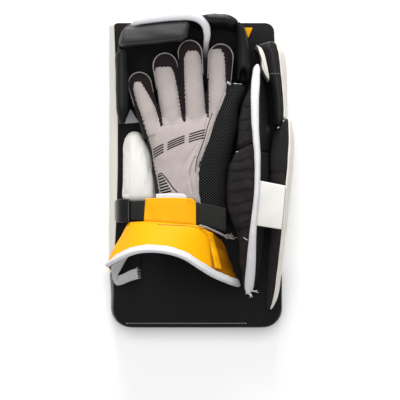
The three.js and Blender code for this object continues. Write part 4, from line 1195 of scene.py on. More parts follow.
# Past the fingertips the guards stand in on the board and lean out to their tops
def leanOut(rings, line):
    past = np.clip((line[:, 1] - fingerGuard["leanFrom"]) / (fingerGuard["leanTo"] - fingerGuard["leanFrom"]),
                   0, 1)
    lean = fingerGuard["lean"] * past * past * (3 - 2 * past)
    rise = (rings[..., 2] - padBase) / (rings[..., 2].max(1, keepdims=True) - padBase)
    rings[..., 1] -= lean[:, None] * (1 - rise)
    return rings


def addFingerGuard():
    line = evenPath(splinePath(fingerGuardRows, 300), 1.5)
    half = fingerGuard["wall"] / 2
    profiles = []
    for _, _, top in line:
        high = max(padBase + 3, top - 2) - padBase
        corners = [(half, 0), (half, high), (-half, high), (-half, 0)]
        profiles.append(evenRing(roundedOutline(corners, [0.3, 1.7, 1.7, 0.3]), 36))
    base = line.copy()
    base[:, 2] = padBase
    rings = leanOut(levelRings(base, np.array(profiles)), line)
    place(loft("fingerGuardWall", rings, blackLeather), "black_leather", ["finger_guard_wall"])
    keep = (line[:, 0] > -76) & ~((line[:, 0] > 5) & (line[:, 1] < fingerGuard["tapeEndY"]))
    edge = line[keep]
    width = fingerTapeWidths(pathLengths(edge))
    tangent = unit(np.gradient(edge[:, :2], axis=0))
    tapeWidth = fingerGuard["tapeWidth"]
    edge[:, :2] += np.stack([-tangent[:, 1], tangent[:, 0]], 1) * ((width - tapeWidth) * 0.6)[:, None]
    profile = tapeOutline(tapeWidth, *(fingerGuard[key] for key in ("tapeHeight", "tapeSlot", "tapeFold")))
    profiles = wavyProfiles(profile, edge, 0.045, 0.25, 21)
    profiles[..., 0] *= (width / tapeWidth)[:, None]
    rings = levelRings(edge, profiles)
    slant = np.clip(1 - pathLengths(edge) / 14, 0, 1)[:, None] * np.abs(profiles[..., 0]) * 0.9
    rings[..., 0] += slant * (rings[..., 1] > edge[:, None, 1])
    # The tape's colour carries painted light and painted shade
    place(loft("fingerGuardTape", rings, shadedGuardTape), "binding", ["finger_guard_tape"])
    side = levelRings(edge, np.stack([width[:, None] * [0.42, -0.42], np.full((len(edge), 2), -0.6)], -1))
    seen = (side[:, 0, 1] > 150) & (edge[:, 0] > -62)
    rows = [(side[seen][2:, k], (0, 0, 1)) for k in (0, 1)]
    sewn("fingerTapeStitches", rows, whiteThread, "binding", step=3, length=2.2, width=0.5)


def padRings(path, halfWidth, halfHeight, power, count, slantStart=0, slantEnd=0, taper=None):
    x, z = ovalPoints(count, power)
    share = np.linspace(0, 1, len(path))
    size = np.ones(len(path)) if taper is None else taper(share)
    profiles = np.stack([x[None] * halfWidth * size[:, None], z[None] * halfHeight * size[:, None]], -1)
    rings = levelRings(path, profiles)
    tangent = unit(np.gradient(path, axis=0))
    lean = slantStart * np.clip(1 - share / 0.3, 0, 1) + slantEnd * np.clip((share - 0.7) / 0.3, 0, 1)
    return rings + tangent[:, None] * (lean[:, None] * profiles[..., 0])[..., None]


def addGuardRolls():
    line = evenPath(splinePath([(-87.4, 154.2, 74), (-60, 157.2, 74.6), (-30, 160, 75.8), (-9.4, 161.6, 76)],
                               80), 1.6)
    wide, high = fingerGuard["topRoll"]
    rings = padRings(line, wide, high, 2.7, 72, slantStart=-fingerGuard["slant"],
                     slantEnd=-fingerGuard["slant"])
    # The roll's lighter leather is painted light
    roll = loft("fingerTopRoll", roundEnds(rings, 7.5, 8), litRollLeather)
    points, normals = pointsOf(roll), normalsOf(roll)
    s = np.interp(points[:, 0], line[:, 0], np.arange(len(line)) * 1.6)
    ends = np.exp(-np.minimum(s, s.max() - s) / 9)
    seam = points[:, 1] - np.interp(points[:, 0], line[:, 0], line[:, 1]) + wide * 0.78
    amount = 0.5 * ripple(points * [0.5, 1, 1], 22, 31) + 0.28 * ends * np.sin(points[:, 0] * 0.9)
    displaced(roll, amount - 0.9 * np.exp(-(seam / 0.9) ** 2) * (normals[:, 2] > -0.2))
    place(roll, "black_leather", ["finger_guard_top_roll"], padding=0.85)
    line = evenPath(splinePath([(-86.4, 141, 64), (-86.2, 110, 64), (-86, 80, 64), (-86, 57, 60)], 80), 1.6)
    wide, high = fingerGuard["sideRoll"]
    taper = smoothThrough([0, 0.1, 0.75, 1], [0.9, 1, 0.95, 0.45])
    rings = padRings(line, wide, high, 2.3, 60, slantStart=0.4, taper=taper)
    roll = loft("fingerSideRoll", roundEnds(rings, 3.5, 6), satinLeather)
    points, normals = pointsOf(roll), normalsOf(roll)
    amount = 0.35 * ripple(points * [1, 0.6, 1], 20, 33)
    displaced(roll, amount - 0.5 * np.exp(-((points[:, 0] + 82.6) / 0.8) ** 2) * (normals[:, 2] > 0))
    place(roll, "black_leather", ["finger_guard_side_roll"], padding=0.85)


gusset = {
    "corners": [(-78.5, 77), (-85, 58.5), (-67.5, 60.5)],
    "levels": [(0.97, 0), (1, 1), (1, 2.6), (0.95, 3.5), (0.84, 3.9), (0.5, 3.7), (0.2, 3.5)],  # share, rise
}


def addGusset():
    ring = evenRing(roundedOutline(gusset["corners"], [2, 1.5, 1.5]), 60)
    rings = levelStack(ring, [(share, padBase + rise) for share, rise in gusset["levels"]])
    piece = loft("gussetCloth", rings, greyCloth)
    displaced(piece, 0.35 * ripple(pointsOf(piece), 9, 41))
    place(piece, "white_leather", ["finger_guard_gusset"], padding=0.5)


addFingerGuard()
addGuardRolls()
addGusset()

# The guard round the index finger: one padded wall past the tip and one beside it

indexGuard = {"topHalves": (2.2, 4.6, 5.6, 5.4, 4.4), "sideHalves": (2.8, 4.8, 6.2, 7, 7.5, 7.3)}
indexMouth = [(47.4, 96), (47.4, 113), (49.2, 118.8), (52.7, 121.6), (56.2, 118.8), (58, 113), (58, 96)]
indexTopLine = [(4.2, 177.2, 0), (13, 176, 0), (21, 175.6, 0), (32, 175, 0), (39.5, 172.8, 0),
                (44.4, 170.2, 0)]
indexSideLine = [(45.6, 170.4, 0), (49.4, 162, 0), (51.4, 148, 0), (52.6, 135, 0), (53.2, 122, 0),
                 (52.6, 106.4, 0)]


def padSection(halfWidth, top, base, count=56):
    corners = [
        (halfWidth * 0.8, base), (halfWidth, base + 12), (halfWidth, top - 9), (halfWidth * 0.72, top - 2.2),
        (0, top + 0.4), (-halfWidth * 0.72, top - 2.2), (-halfWidth, top - 9), (-halfWidth, base + 12),
        (-halfWidth * 0.8, base),
    ]
    return evenRing(roundedOutline(corners, [0.8, 6, 6, 2.6, 2.6, 2.6, 6, 6, 0.8], 4), count)


# Rings of a padded wall: its half widths and tops are given as columns of places along it
def padWall(line, widths, tops):
    share = np.linspace(0, 1, len(line))
    wide, top = smoothThrough(*widths)(share), smoothThrough(*tops)(share)
    profiles = np.array([padSection(float(w), float(t), padBase) for w, t in zip(wide, top)])
    return levelRings(line, profiles), top[:, None]


def addIndexGuard():
    line = evenPath(splinePath(indexTopLine, 60), 1.2)
    rings, top = padWall(line, ([0, 0.2, 0.4, 0.8, 1], indexGuard["topHalves"]),
                         ([0, 0.2, 0.7, 1], [82, 87, 86.5, 84]))
    rings[..., 1] -= fingerGuard["lean"] * (top - rings[..., 2]) / (top - padBase)
    piece = loft("indexTopPad", roundEnds(rings, 3.2), blackLeather)
    displaced(piece, 0.3 * ripple(pointsOf(piece), 18, 51))
    place(piece, "black_leather", ["index_guard_top"], padding=0.9)
    line = evenPath(splinePath(indexSideLine, 80), 1.3)
    widths = ([0, 0.15, 0.36, 0.56, 0.76, 1], indexGuard["sideHalves"])
    rings, _ = padWall(line, widths, ([0, 0.3, 0.75, 1], [85, 82, 79, 74]))
    piece = loft("indexSidePad", roundEnds(rings, 2.2), satinLeather)
    points, normals = pointsOf(piece), normalsOf(piece)
    middle = np.interp(-points[:, 1], -line[:, 1], line[:, 0])
    groove = np.exp(-((points[:, 0] - middle + 3.6) / 0.9) ** 2) * np.clip(normals[:, 2], 0, 1)
    displaced(piece, 0.35 * ripple(points * [1, 0.6, 1], 20, 53) - 0.6 * groove)
    cut(piece, prismPiece("mouthCutter", roundedOutline(indexMouth, [0, 3, 4, 4, 4, 3, 0]), 36, 110))
    setMaterial(piece, satinLeather)
    shadeSmooth(piece)
    place(piece, "black_leather", ["index_guard_side"], padding=0.9)


addIndexGuard()
print("finger guards are made")

# The thumb wall: padded nylon towards the hand, leather away from it, a white folded edge

thumbWall = {
    "tapeWidth": 8.6, "tapeHeight": 9, "tapeSlot": 5.4, "seamY": 29, "seamSlant": 0.45, "padShort": 16.5,
    "panelShort": 8.5, "panelSeam": 25,
}
thumbTapeRows = [  # y and the folded edge's width, narrow behind the elastic and wide at both ends
    (-138, 3.4), (-134, 8.4), (-128.6, 10.8), (-117, 11.4), (-106, 11), (-95, 10.2), (-74, 8.2), (-57, 7),
    (-42, 6.4), (-21, 6.2), (0, 6.4), (21, 7), (42, 7.6), (63.5, 8.6), (85, 9.4), (103, 9.6), (115, 8.6),
    (121, 6.6), (124.2, 3),
]
thumbWallRows = [  # y, ridge, top, foot of the inner pad, foot of the outer panel
    (-136, 58.8, 56, 54, 65), (-127, 59.4, 64, 53.2, 69), (-109, 60.6, 77, 50.4, 73),
    (-86, 61.6, 89, 48.2, 76), (-66, 62.6, 96.2, 44.6, 78.2), (-55, 63.5, 98.6, 38.6, 79.4),
    (-41, 64.8, 101, 35, 81), (-19, 66.8, 103.5, 34, 82.2), (4, 67.4, 104, 35.2, 82.8),
    (20, 67.2, 104, 40.2, 83.6), (37, 66, 103, 46.2, 85.4), (60, 64.8, 100, 48.5, 84.4),
    (82, 64.6, 96, 52.5, 83.4), (91, 65, 93, 57, 82.8), (99, 65.5, 90, 60, 81.6), (111, 66.4, 84, 62.4, 77),
    (124.2, 68.4, 75.6, 63, 70.8),
]
thumbLine = tableCurves(("ridge", "top", "inner", "outer"), thumbWallRows)
thumbTapeWidth = tableCurves(("width",), thumbTapeRows)["width"]


def thumbWallRing(y, side, count=64):
    ridge, top = float(thumbLine["ridge"](y)), float(thumbLine["top"](y))
    edge = 0.28 * float(thumbTapeWidth(y))
    reach = ridge - float(thumbLine["inner"](y)) if side < 0 else float(thumbLine["outer"](y)) - ridge
    rise = top - padBase
    wide = max(reach, edge + 0.4)
    fold = top - thumbWall["tapeHeight"] - 1

    def up(share):
        return min(padBase + rise * share, fold - 2 * (1 - share))

    shares = ((0.8, 0), (1, 0.14), (1, 0.34), (0.86, 0.56)) if side < 0 else (
        (1, 0), (0.98, 0.08), (0.8, 0.3), (0.6, 0.52))
    high = (0.45, 0.76) if side < 0 else (0.3, 0.74)
    corners = [(0.2, padBase)] + [(wide * a, up(b)) for a, b in shares]
    corners += [(edge + (wide - edge) * high[0], up(high[1])), (edge, fold), (edge, top - 1.6),
                (0.2, top - 1.6)]
    outline = evenRing(roundedOutline(corners, [0.5, 3, 9, 9, 9, 9, 3, 0.6, 0.6], 6), count)
    return np.column_stack([ridge + side * outline[:, 0], np.full(count, y), outline[:, 1]])


# Soft cross folds of the nylon: place along Y at the tape and at the hand, and depth
nylonFolds = [
    (10, 16, 0.9), (0, 4, 1.1), (-9, -9, 0.8), (-19, -22, 1.2), (-30, -36, 1), (-43, -46, 1.3),
    (-53, -60, 1.6), (-60, -63, 1.8), (-72, -80, 1), (-88, -97, 0.8), (44, 48, 0.6), (58, 60, 0.7),
    (73, 79, 0.6),
]


def foldedNylon(piece):
    points = pointsOf(piece)
    ridge = thumbLine["ridge"](points[:, 1])
    inner = thumbLine["inner"](points[:, 1])
    across = np.clip((ridge - points[:, 0]) / np.maximum(ridge - inner, 1), 0, 1)
    bend = 2.5 * ripple(points * [1, 0.3, 0.3], 26, 61)
    calm = 1 - 0.8 * np.clip((across - 0.7) / 0.3, 0, 1)
    amount = 0.5 * ripple(points * [0.4, 1.1, 0.5], 24, 62)
    for atTape, atHand, depth in nylonFolds:
        away = points[:, 1] - (atTape + (atHand - atTape) * across + bend)
        amount += calm * depth * (0.5 * np.exp(-((away - 4) / 2.6) ** 2) - np.exp(-(away / 1.5) ** 2))
    share = np.clip((points[:, 2] - padBase - 2) / 10, 0, 1) * np.clip((ridge - points[:, 0] - 1) / 5, 0, 1)
    displaced(piece, amount * share)


# The seam between the two pads runs up towards the tape
def slantedSeam(points):
    near = np.exp(-((points[..., 1] - thumbWall["seamY"]) / 14) ** 2)
    points[..., 1] += thumbWall["seamSlant"] * (np.clip(points[..., 0], 38, 64) - 50) * near
    return points


def addThumbWall():
    first, last = thumbWallRows[0][0], thumbWallRows[-1][0]
    seam = thumbWall["seamY"]

    def pinned(points):
        atRidge = thumbLine["ridge"](points[:, 1]) - points[:, 0] < 4.5
        return (points[:, 2] < padBase + 4) | atRidge | (np.abs(points[:, 1] - seam) < 3.5)

    for name, start, end, node in (("lowerThumbPad", first, seam + 0.2, "thumb_pad_lower"),
                                   ("upperThumbPad", seam - 0.2, last - thumbWall["padShort"],
                                    "thumb_pad_upper")):
        stations = np.linspace(start, end, int((end - start) / 2.2))
        rings = np.array([thumbWallRing(y, -1) for y in stations])
        pad = loft(name, roundEnds(rings, 5, 6), padNylon)
        puffed(pad, pinned, voxel=3.4, pressure=4, cap=2, growth=0.02, bending=0.3)
        foldedNylon(pad)
        setPoints(pad, slantedSeam(pointsOf(pad)))
        setMaterial(pad, padNylon)
        boxUv(pad)
        place(pad, "nylon", [node], padding=0.7)
    split = thumbWall["panelSeam"]
    # The upper panel's lighter leather is painted light
    for name, start, end, count, material, slot, node in (
            ("thumbWallPanel", split + 0.2, last - thumbWall["panelShort"], 50, litPanelLeather, "black_leather",
             ["thumb_wall_panel"]),
            ("thumbPanelLower", first, split - 0.2, 80, padNylon, "nylon", [])):
        rings = np.array([thumbWallRing(y, 1) for y in np.linspace(start, end, count)])
        panel = loft(name, roundEnds(rings, 2.4), material)
        displaced(panel, 0.4 * ripple(pointsOf(panel) * [1, 0.6, 0.6], 24, 65))
        boxUv(panel)
        place(panel, slot, node, padding=0.9)
    y = np.linspace(first - 2, last, 300)
    ridge = evenPath(np.column_stack([thumbLine["ridge"](y), y, thumbLine["top"](y)]), 1.5)
    ridge[:, 2] = np.where(ridge[:, 1] < first, ridge[:, 2] - 0.4 * (first - ridge[:, 1]), ridge[:, 2])
    profile = tapeOutline(thumbWall["tapeWidth"], thumbWall["tapeHeight"], thumbWall["tapeSlot"], 1.3)
    share = thumbTapeWidth(ridge[:, 1]) / thumbWall["tapeWidth"]
    profiles = (wavyProfiles(profile, ridge, 0.05, 0.3, 71)
                * np.stack([share, np.ones(len(ridge))], -1)[:, None])
    place(loft("thumbWallTape", levelRings(ridge, profiles), whiteTape), "binding", ["thumb_wall_tape"])
    half = thumbTapeWidth(ridge[:, 1])[:, None] * 0.45
    sides = levelRings(ridge, np.stack([half * [1, -1], np.full((len(ridge), 2), -1)], -1))
    rows = [(sides[5:-5, k], (0, 0, 1)) for k in (0, 1)]
    sewn("thumbTapeStitches", rows, whiteThread, "binding", step=3.2, length=2.3, width=0.5)


leaf = {
    "corners": [
        (66.6, 146), (72.7, 142.7), (76.6, 134.6), (79, 124), (81.6, 110), (81.6, 105), (80.2, 107.6),
        (76, 114.2), (73.4, 120), (72.9, 130.6), (71.6, 138.4), (68.3, 143.6),
    ],
    "low": 30.8, "high": 76,
}


def addLeaf():
    radii = [0.6, 2, 4, 5, 5, 0.4, 0.4, 4, 4, 4, 4, 2]
    ring = evenRing(roundedOutline(leaf["corners"], radii), 80)
    low, high = leaf["low"], leaf["high"]
    levels = [(0, low), (0, low + 10), (0, high - 8), (0, high - 1.2), (0.12, high - 0.5), (0.4, high - 0.1)]
    rings = [np.column_stack([shifted(ring, -inset), np.full(80, z)]) for inset, z in levels]
    piece = loft("whiteLeaf", rings, whiteLeather)
    displaced(piece, 0.2 * ripple(pointsOf(piece), 14, 73))
    place(piece, "white_leather", ["thumb_wall_leaf"])


addThumbWall()
addLeaf()
print("thumb wall is made")

# The outer wall on the thumb edge of the board: a block by the fingers, then a flared wing

outerBlockRows = [  # y, inner, outer, top, bulge
    (55, 88.6, 98.2, 74, 103), (62.5, 88.6, 98.4, 77, 104), (78, 88.2, 98, 77.4, 103.8),
    (91, 87.2, 97.2, 77.5, 103.6), (104, 84.6, 96, 77.2, 103.6), (115, 81.6, 95, 77, 103.4),
    (126, 79.6, 94, 76, 102.8), (133, 77.6, 93.2, 75.4, 101.8), (138.6, 75.4, 92.2, 74.6, 100.8),
    (143, 71.4, 90.8, 73.4, 99), (146, 71, 90.4, 72, 97.6), (150.6, 78.6, 88.6, 69, 94),
]
wingRows = [  # y, ridge, top, inner, foot, bulge
    (-157, 83.5, 42, 80, 84.5, 87), (-145, 86.5, 52, 80.5, 89, 92.4), (-127, 88.8, 63, 81, 92, 95.8),
    (-98, 92, 76, 82.6, 95, 98.8), (-75, 93.8, 85, 84, 96.5, 101), (-47, 96.4, 91, 83.4, 98, 104.4),
    (-13, 99.2, 94, 83.4, 98.5, 107.4), (15, 101.4, 95, 84.2, 98.4, 110.6), (38, 102.6, 94, 86.8, 98, 111),
    (61.5, 102.4, 88, 89, 97, 107.6),
]
blockLine = tableCurves(("inner", "outer", "top", "bulge"), outerBlockRows)
wingLine = tableCurves(("ridge", "top", "inner", "foot", "bulge"), wingRows)


def sectionLoft(name, first, last, step, corners, radius, material, ends):
    rings = []
    for y in np.linspace(first, last, int((last - first) / step)):
        outline = corners(y)
        rings.append(section(evenRing(roundedOutline(outline, [radius] * len(outline)), 64), y))
    return loft(name, roundEnds(rings, ends), material)


def blockSection(y):
    inner, outer, top = (float(blockLine[k](y)) for k in ("inner", "outer", "top"))
    middle = (inner + outer) / 2
    return [(inner + 1, padBase), (inner - 1.5, padBase + 20), (inner - 1, top - 8), (middle - 2.5, top - 1),
            (middle + 2, top), (outer - 1, top - 5), (outer, top - 20), (outer - 1.5, padBase)]


def blockSkinSection(y):
    outer, top, bulge = (float(blockLine[k](y)) for k in ("outer", "top", "bulge"))
    return [(outer - 0.9, padBase), (outer + 0.5, top - 20), (outer - 0.4, top - 5), (outer + 0.6, top - 3.4),
            (outer + 2.5, top - 8), (bulge - 1.2, top - 17), (bulge, top - 28), (bulge - 2, padBase + 3),
            (outer + 2, padBase)]


def wingHeights(y):
    names = ("ridge", "top", "inner", "foot", "bulge")
    ridge, top, inner, foot, bulge = (float(wingLine[k](y)) for k in names)
    return ridge, top, inner, foot, bulge, lambda part: padBase + (top - padBase) * part


def wingLiningSection(y):
    ridge, top, inner, foot, _, at = wingHeights(y)
    return [(inner, padBase), (inner + 0.5, at(0.3)), (inner + (ridge - inner) * 0.45, at(0.7)),
            (ridge - 3.6, top - 1.5),
            (ridge - 2, top), (ridge - 0.3, top - 1.5), (ridge + 0.2, at(0.75)),
            (foot + (ridge - foot) * 0.55, at(0.4)),
            (foot - 1, padBase)]


def wingSkinSection(y):
    ridge, top, _, foot, bulge, at = wingHeights(y)
    return [(foot - 0.5, padBase), (foot + (ridge - foot) * 0.55 + 0.5, at(0.4)), (ridge + 0.7, at(0.75)),
            (ridge + 0.2, top - 1.4), (ridge + 0.5, top), (ridge + 2, top - 1),
            (ridge + (bulge - ridge) * 0.72, at(0.76)),
            (bulge, at(0.46)), (bulge - 1.2, at(0.2)), (foot + (bulge - foot) * 0.45, padBase)]


# The wing's end by the block is cut back towards the hand
def slantedTop(piece):
    points = pointsOf(piece)
    seenAt = 3 + (points[:, 0] - 3) * (1800 - padBase) / (1800 - points[:, 2])
    points[:, 1] -= 11 * np.clip((points[:, 1] - 36) / 25, 0, 1) * np.clip((103.5 - seenAt) / 11, 0, 1)
    setPoints(piece, points)


def addOuterWall():
    block = sectionLoft("outerBlockPad", 55, 150.6, 1.3, blockSection, 3, satinLeather, ends=2)
    displaced(block, 0.35 * ripple(pointsOf(block) * [1, 0.6, 1], 22, 81))
    place(block, "black_leather", ["outer_block"], padding=0.9)
    skin = sectionLoft("outerBlockSkin", 62.5, 150, 1.6, blockSkinSection, 1.6, whiteLeather, ends=3)
    displaced(skin, 0.2 * ripple(pointsOf(skin), 22, 82))
    place(skin, "white_leather", ["outer_block_skin"])
    lining = sectionLoft("wingLining", -157, 61.5, 2, wingLiningSection, 2.2, padNylon, ends=5)
    points = pointsOf(lining)
    folds = 0.5 * ripple(points * [1, 0.8, 1], 24,
                         83) - 0.8 * np.exp(-((points[:, 1] + 4 - points[:, 0] * 0.05) / 1.2) ** 2)
    displaced(lining, folds * np.clip((points[:, 2] - padBase) / 12, 0, 1))
    slantedTop(lining)
    boxUv(lining)
    place(lining, "nylon", ["outer_wing_lining"], padding=0.8)
    skin = sectionLoft("wingSkin", -157, 61.5, 2, wingSkinSection, 1.4, whiteLeather, ends=3)
    displaced(skin, 0.25 * ripple(pointsOf(skin) * [1, 0.7, 0.7], 26, 84))
    slantedTop(skin)
    place(skin, "white_leather", ["outer_wing_skin"])
    return block


outerBlock = addOuterWall()

elastic = {"inY": (-8.7, -58.5), "outY": (-14.2, -62.8), "clear": 0.6, "thick": 1.6, "sag": 1.5}


def addElastic():
    u, v = unitGrid(44, 34)
    inY, outY = (elastic[key][0] + (elastic[key][1] - elastic[key][0]) * v for key in ("inY", "outY"))
    startX = thumbLine["ridge"](inY) + thumbTapeWidth(inY) / 2 + elastic["clear"]
    endX = wingLine["ridge"](outY) - 0.5
    startZ, endZ = thumbLine["top"](inY) - 5, wingLine["top"](outY) + 2.4
    wave = 0.8 * np.sin(9 * v + 3 * u) * u * (1 - u) - elastic["sag"] * np.sin(math.pi * u)
    grid = np.stack([startX + (endX - startX) * u, inY + (outY - inY) * u,
                     startZ + (endZ - startZ) * u + wave], -1)
    addSheet("elasticBand", grid, elastic["thick"], whiteElastic, "elastic", ["elastic_band"])


addElastic()
print("outer wall is made")

# The cuff: a flared arch over the wrist, yellow outside, black inside, a white tape round its rim

cuff = {
    "skin": 2.6, "lining": 1, "fold": 23 / 28, "lip": 1.5, "seamGap": 0.3, "puff": 0.9, "tapeLeg": 6.2,
    "inside": (-20, -85, 30), "tapeFold": 0.7,
}
cuffRows = [  # neck by the strap, rim
    ((-66, -63, 37.5), (-68, -117.5, 38)), ((-73, -61, 43), (-92, -125, 45)),
    ((-77, -58, 56), (-98, -115, 56)), ((-77.5, -56, 68), (-103, -104, 72)),
    ((-71.5, -55.2, 77), (-86, -94.6, 92)), ((-59, -54.6, 84), (-69, -87.6, 106)),
    ((-44, -55.4, 87.4), (-50.3, -85.6, 113)), ((-30, -56.4, 88.6), (-30.3, -88.1, 113)),
    ((-15, -57.6, 88.2), (-13.7, -94, 110)), ((0, -59, 86), (3, -105, 103)),
    ((14.3, -66, 77), (19.6, -115.6, 88)), ((27, -78, 59), (37, -123.8, 66)),
    ((35, -94, 38), (48, -128.8, 38)),
]
neckRows = [np.array(row[0], float) for row in cuffRows]
rimRows = [np.array(row[1], float) for row in cuffRows]


def cuffGrid(first, last, aroundSteps, downLast, downSteps, offset):
    around = np.linspace(first, last, aroundSteps)
    neck, rim = (np.array([splinePoint(rows, t) for t in around]) for rows in (neckRows, rimRows))
    grid = neck[:, None] + (rim - neck)[:, None] * np.linspace(0, downLast, downSteps)[None, :, None]
    normal = gridNormals(grid)
    normal = normal * np.sign(np.einsum("ijk,ijk->ij", normal, grid - cuff["inside"]).mean())
    return grid + normal * offset, normal


def addCuffSheet(name, grid, normal, thick, material, slot, node):
    sign = 1.0 if np.einsum("ijk,ijk->ij", gridNormals(grid), normal).mean() > 0 else -1.0
    addSheet(name, grid, thick, material, slot, [node], sign)


def addCuff():
    end = 1 - cuff["lip"] / 45
    fold, half = cuff["fold"], cuff["skin"] / 2
    # The side panel takes the darker yellow, which is painted shade
    for name, first, last, count, material, node, seed, creases in (
            ("cuffPanel", 0, fold - 0.003, 150, yellowLeather, "cuff_panel", 91, 0.25),
            ("cuffSidePanel", fold + 0.003, 1, 44, shadedYellow, "cuff_side_panel", 92, 0.55)):
        grid, normal = cuffGrid(first, last, count, end, 30, half)
        u, v = unitGrid(count, 30)
        edge = np.minimum(np.minimum(u, 1 - u) * (last - first) * 330, np.minimum(v, 1 - v) * 40)
        waves = ripple(grid.reshape(-1, 3) * [1, 1, 0.7], 30, seed).reshape(edge.shape)
        amount = cuff["puff"] * (1 - np.exp(-edge / 4)) - 0.4 + creases * waves
        if name == "cuffSidePanel":
            amount += creases * np.sin(v * 15 + 3 * u + 0.8 * waves)
        grid = grid + normal * amount[..., None]
        addCuffSheet(name, grid, normal, cuff["skin"], material, "yellow_leather", node)
    grid, normal = cuffGrid(0, 1, 160, end, 26, -half - cuff["seamGap"])
    addCuffSheet("cuffLining", grid, normal, cuff["lining"], nylonCloth, "nylon", "cuff_lining")
    addCuffTape()


# The end of the tape that turns under the cuff, grey with painted shade: its outer and inner edge in the
# photograph's pixels, and their heights
underTapeRows = [
    ((111.2, 267, 78), (127.6, 257.6, 88)), ((111.4, 270.5, 70), (125, 262, 78)),
    ((112, 275, 60), (121.6, 268.4, 66)), ((113.2, 281, 53), (118, 275, 58)),
    ((116.6, 285.2, 49), (119.4, 275.4, 54)), ((121.6, 284.8, 48), (124.2, 273.6, 52)),
    ((130.4, 281.2, 46), (131, 270.2, 49)), ((138.6, 278.8, 44), (136.6, 268.6, 47)),
]


# Loose threads where a tape was cut
def frayed(name, ends, material, seed, radius):
    random = np.random.default_rng(seed)
    threads = []
    for point, direction, spread, length, count in ends:
        for _ in range(count):
            course = unit(np.array(direction)) + random.normal(0, spread, 3) * [1, 1, 0.4]
            start = np.array(point) + random.normal(0, 0.7, 3) * [1, 1, 0.2]
            bend, reach = random.normal(0, 0.25, 3) * [1, 1, 0.3], length * random.uniform(0.5, 1)
            path = np.array([start + course * reach * t + bend * reach * t * t for t in np.linspace(0, 1, 5)])
            threads.append(tube(f"{name}{len(threads)}", path, radius, material, sides=6))
    return place(joined(name, threads), "binding")


# A grid of points between two edges, and how far across each is
def between(first, second, count=9):
    share = np.linspace(0, 1, count)[None, :, None]
    return first[:, None] * (1 - share) + second[:, None] * share, share[..., 0]


# The tape is folded over the rim from the little-finger tip
def cuffTapeRings(profile, count):
    rings, sides = [], []
    rim, neck = rimRows[3:], neckRows[3:]
    for t in np.linspace(0, 1, count):
        at = splinePoint(rim, t)
        inward = unit(splinePoint(neck, t) - at)
        along = splinePoint(rim, min(1, t + 0.01)) - splinePoint(rim, max(0, t - 0.01))
        normal = unit(np.cross(along, inward))
        normal = normal * np.sign(normal @ (at - cuff["inside"]))
        wave = 0.25 * math.sin(t * 47) + 0.15 * math.sin(t * 110)
        rings.append(at + inward * (profile[:, :1] + wave * (profile[:, :1] > 4)) + normal * profile[:, 1:])
        sides.append((at + inward * (cuff["tapeLeg"] - 1.6) + normal * (profile[:, 1].max() + 0.1), normal))
    return rings, sides


def addCuffTape():
    leg, foldOver = cuff["tapeLeg"], cuff["tapeFold"]
    outside = cuff["skin"] / 2 + 0.4
    inside = -(cuff["skin"] / 2 + cuff["seamGap"] + cuff["lining"] + 0.4)
    corners = [
        (leg, outside), (leg, outside + foldOver), (0, outside + foldOver), (-1.4, outside),
        (-1.9, (outside + inside) / 2), (-1.4, inside), (0, inside - foldOver), (leg, inside - foldOver),
        (leg, inside), (-0.5, inside), (-0.5, outside),
    ]
    radii = [0.2, 0.5, 1.6, 1.2, 1.2, 1.2, 1.6, 0.5, 0.2, 0.3, 0.3]
    rings, sides = cuffTapeRings(evenRing(roundedOutline(corners, radii, 4), 64), 190)
    place(loft("cuffTape", rings, whiteTape), "binding", ["cuff_tape"])
    row = [np.array(column) for column in zip(*sides[4:-4])]
    sewn("cuffTapeStitches", [row], whiteThread, "binding", step=3.4, length=2.4, width=0.55, clear=0.05)
    edges = [[(*photoMm(u, v, z), z) for u, v, z in row] for row in underTapeRows]
    grid, across = between(*(splinePath([e[k] for e in edges], 60) for k in (0, 1)))
    waves = ripple(grid.reshape(-1, 3), 9, 93).reshape(grid.shape[:2])
    grid[..., 2] += 1.2 * np.sin(math.pi * across) + 0.5 * waves
    addSheet("cuffUnderTape", grid, 0.9, paintedShadeTape, "binding", [])
    ends = [(point, (1, 0.45, 0.1), 0.4, 2.4, 2) for point in grid[-1, ::2] - [0.4, 0, 0]]
    frayed("underTapeFrays", ends, whiteTape, 94, 0.2)


addCuff()
print("cuff is made")

# The wrist strap over the palm's heel, its yellow sleeve and the keeper at the little-finger edge

strapRows = [  # x, height of the underside, middle along Y, half width
    (-75.5, 72.5, -42, 10.4), (-59, 79, -41.8, 11), (-30, 81.5, -42.6, 12), (-1, 79, -45, 12),
    (15, 75.5, -48, 12.4), (28, 72.5, -51.5, 12.8), (33, 70.5, -52.6, 13),
]
strap = {
    "thick": 2.2, "sleeveSkin": 2, "sleeveLining": 1.2, "keeperThick": 2.6, "keeperY": (-55, -29.4),
    "sleeveCorner": 6, "keeperCorner": 4.5,
}
strapLine = tableCurves(("z", "middle", "half"), strapRows)
keeperRows = [(-92.4, 0, 31.3), (-95, 0, 42), (-94.6, 0, 56), (-91, 0, 67), (-85, 0, 73), (-78, 0, 76.5)]
sleeveNear = smoothThrough([-60, -52, -44, -23, -1], [-54.4, -55.4, -56.8, -58.2, -60])


def strapGrid(start, end, far, rise, steps, rows):
    x = np.linspace(start, end, steps)[:, None]
    v = np.linspace(0, 1, rows)[None]
    near = sleeveNear(x)
    corner = arcInset(strap["sleeveCorner"], end - x)
    top = far + 0.8 * np.sin(math.pi * (x - start) / (end - start)) - corner
    y = near + (top - near) * v
    x = x + 1.8 * (v - 0.4) * np.clip((-40 - x) / 20, 0, 1)
    return np.stack([x, y, strapLine["z"](x) + rise], -1)


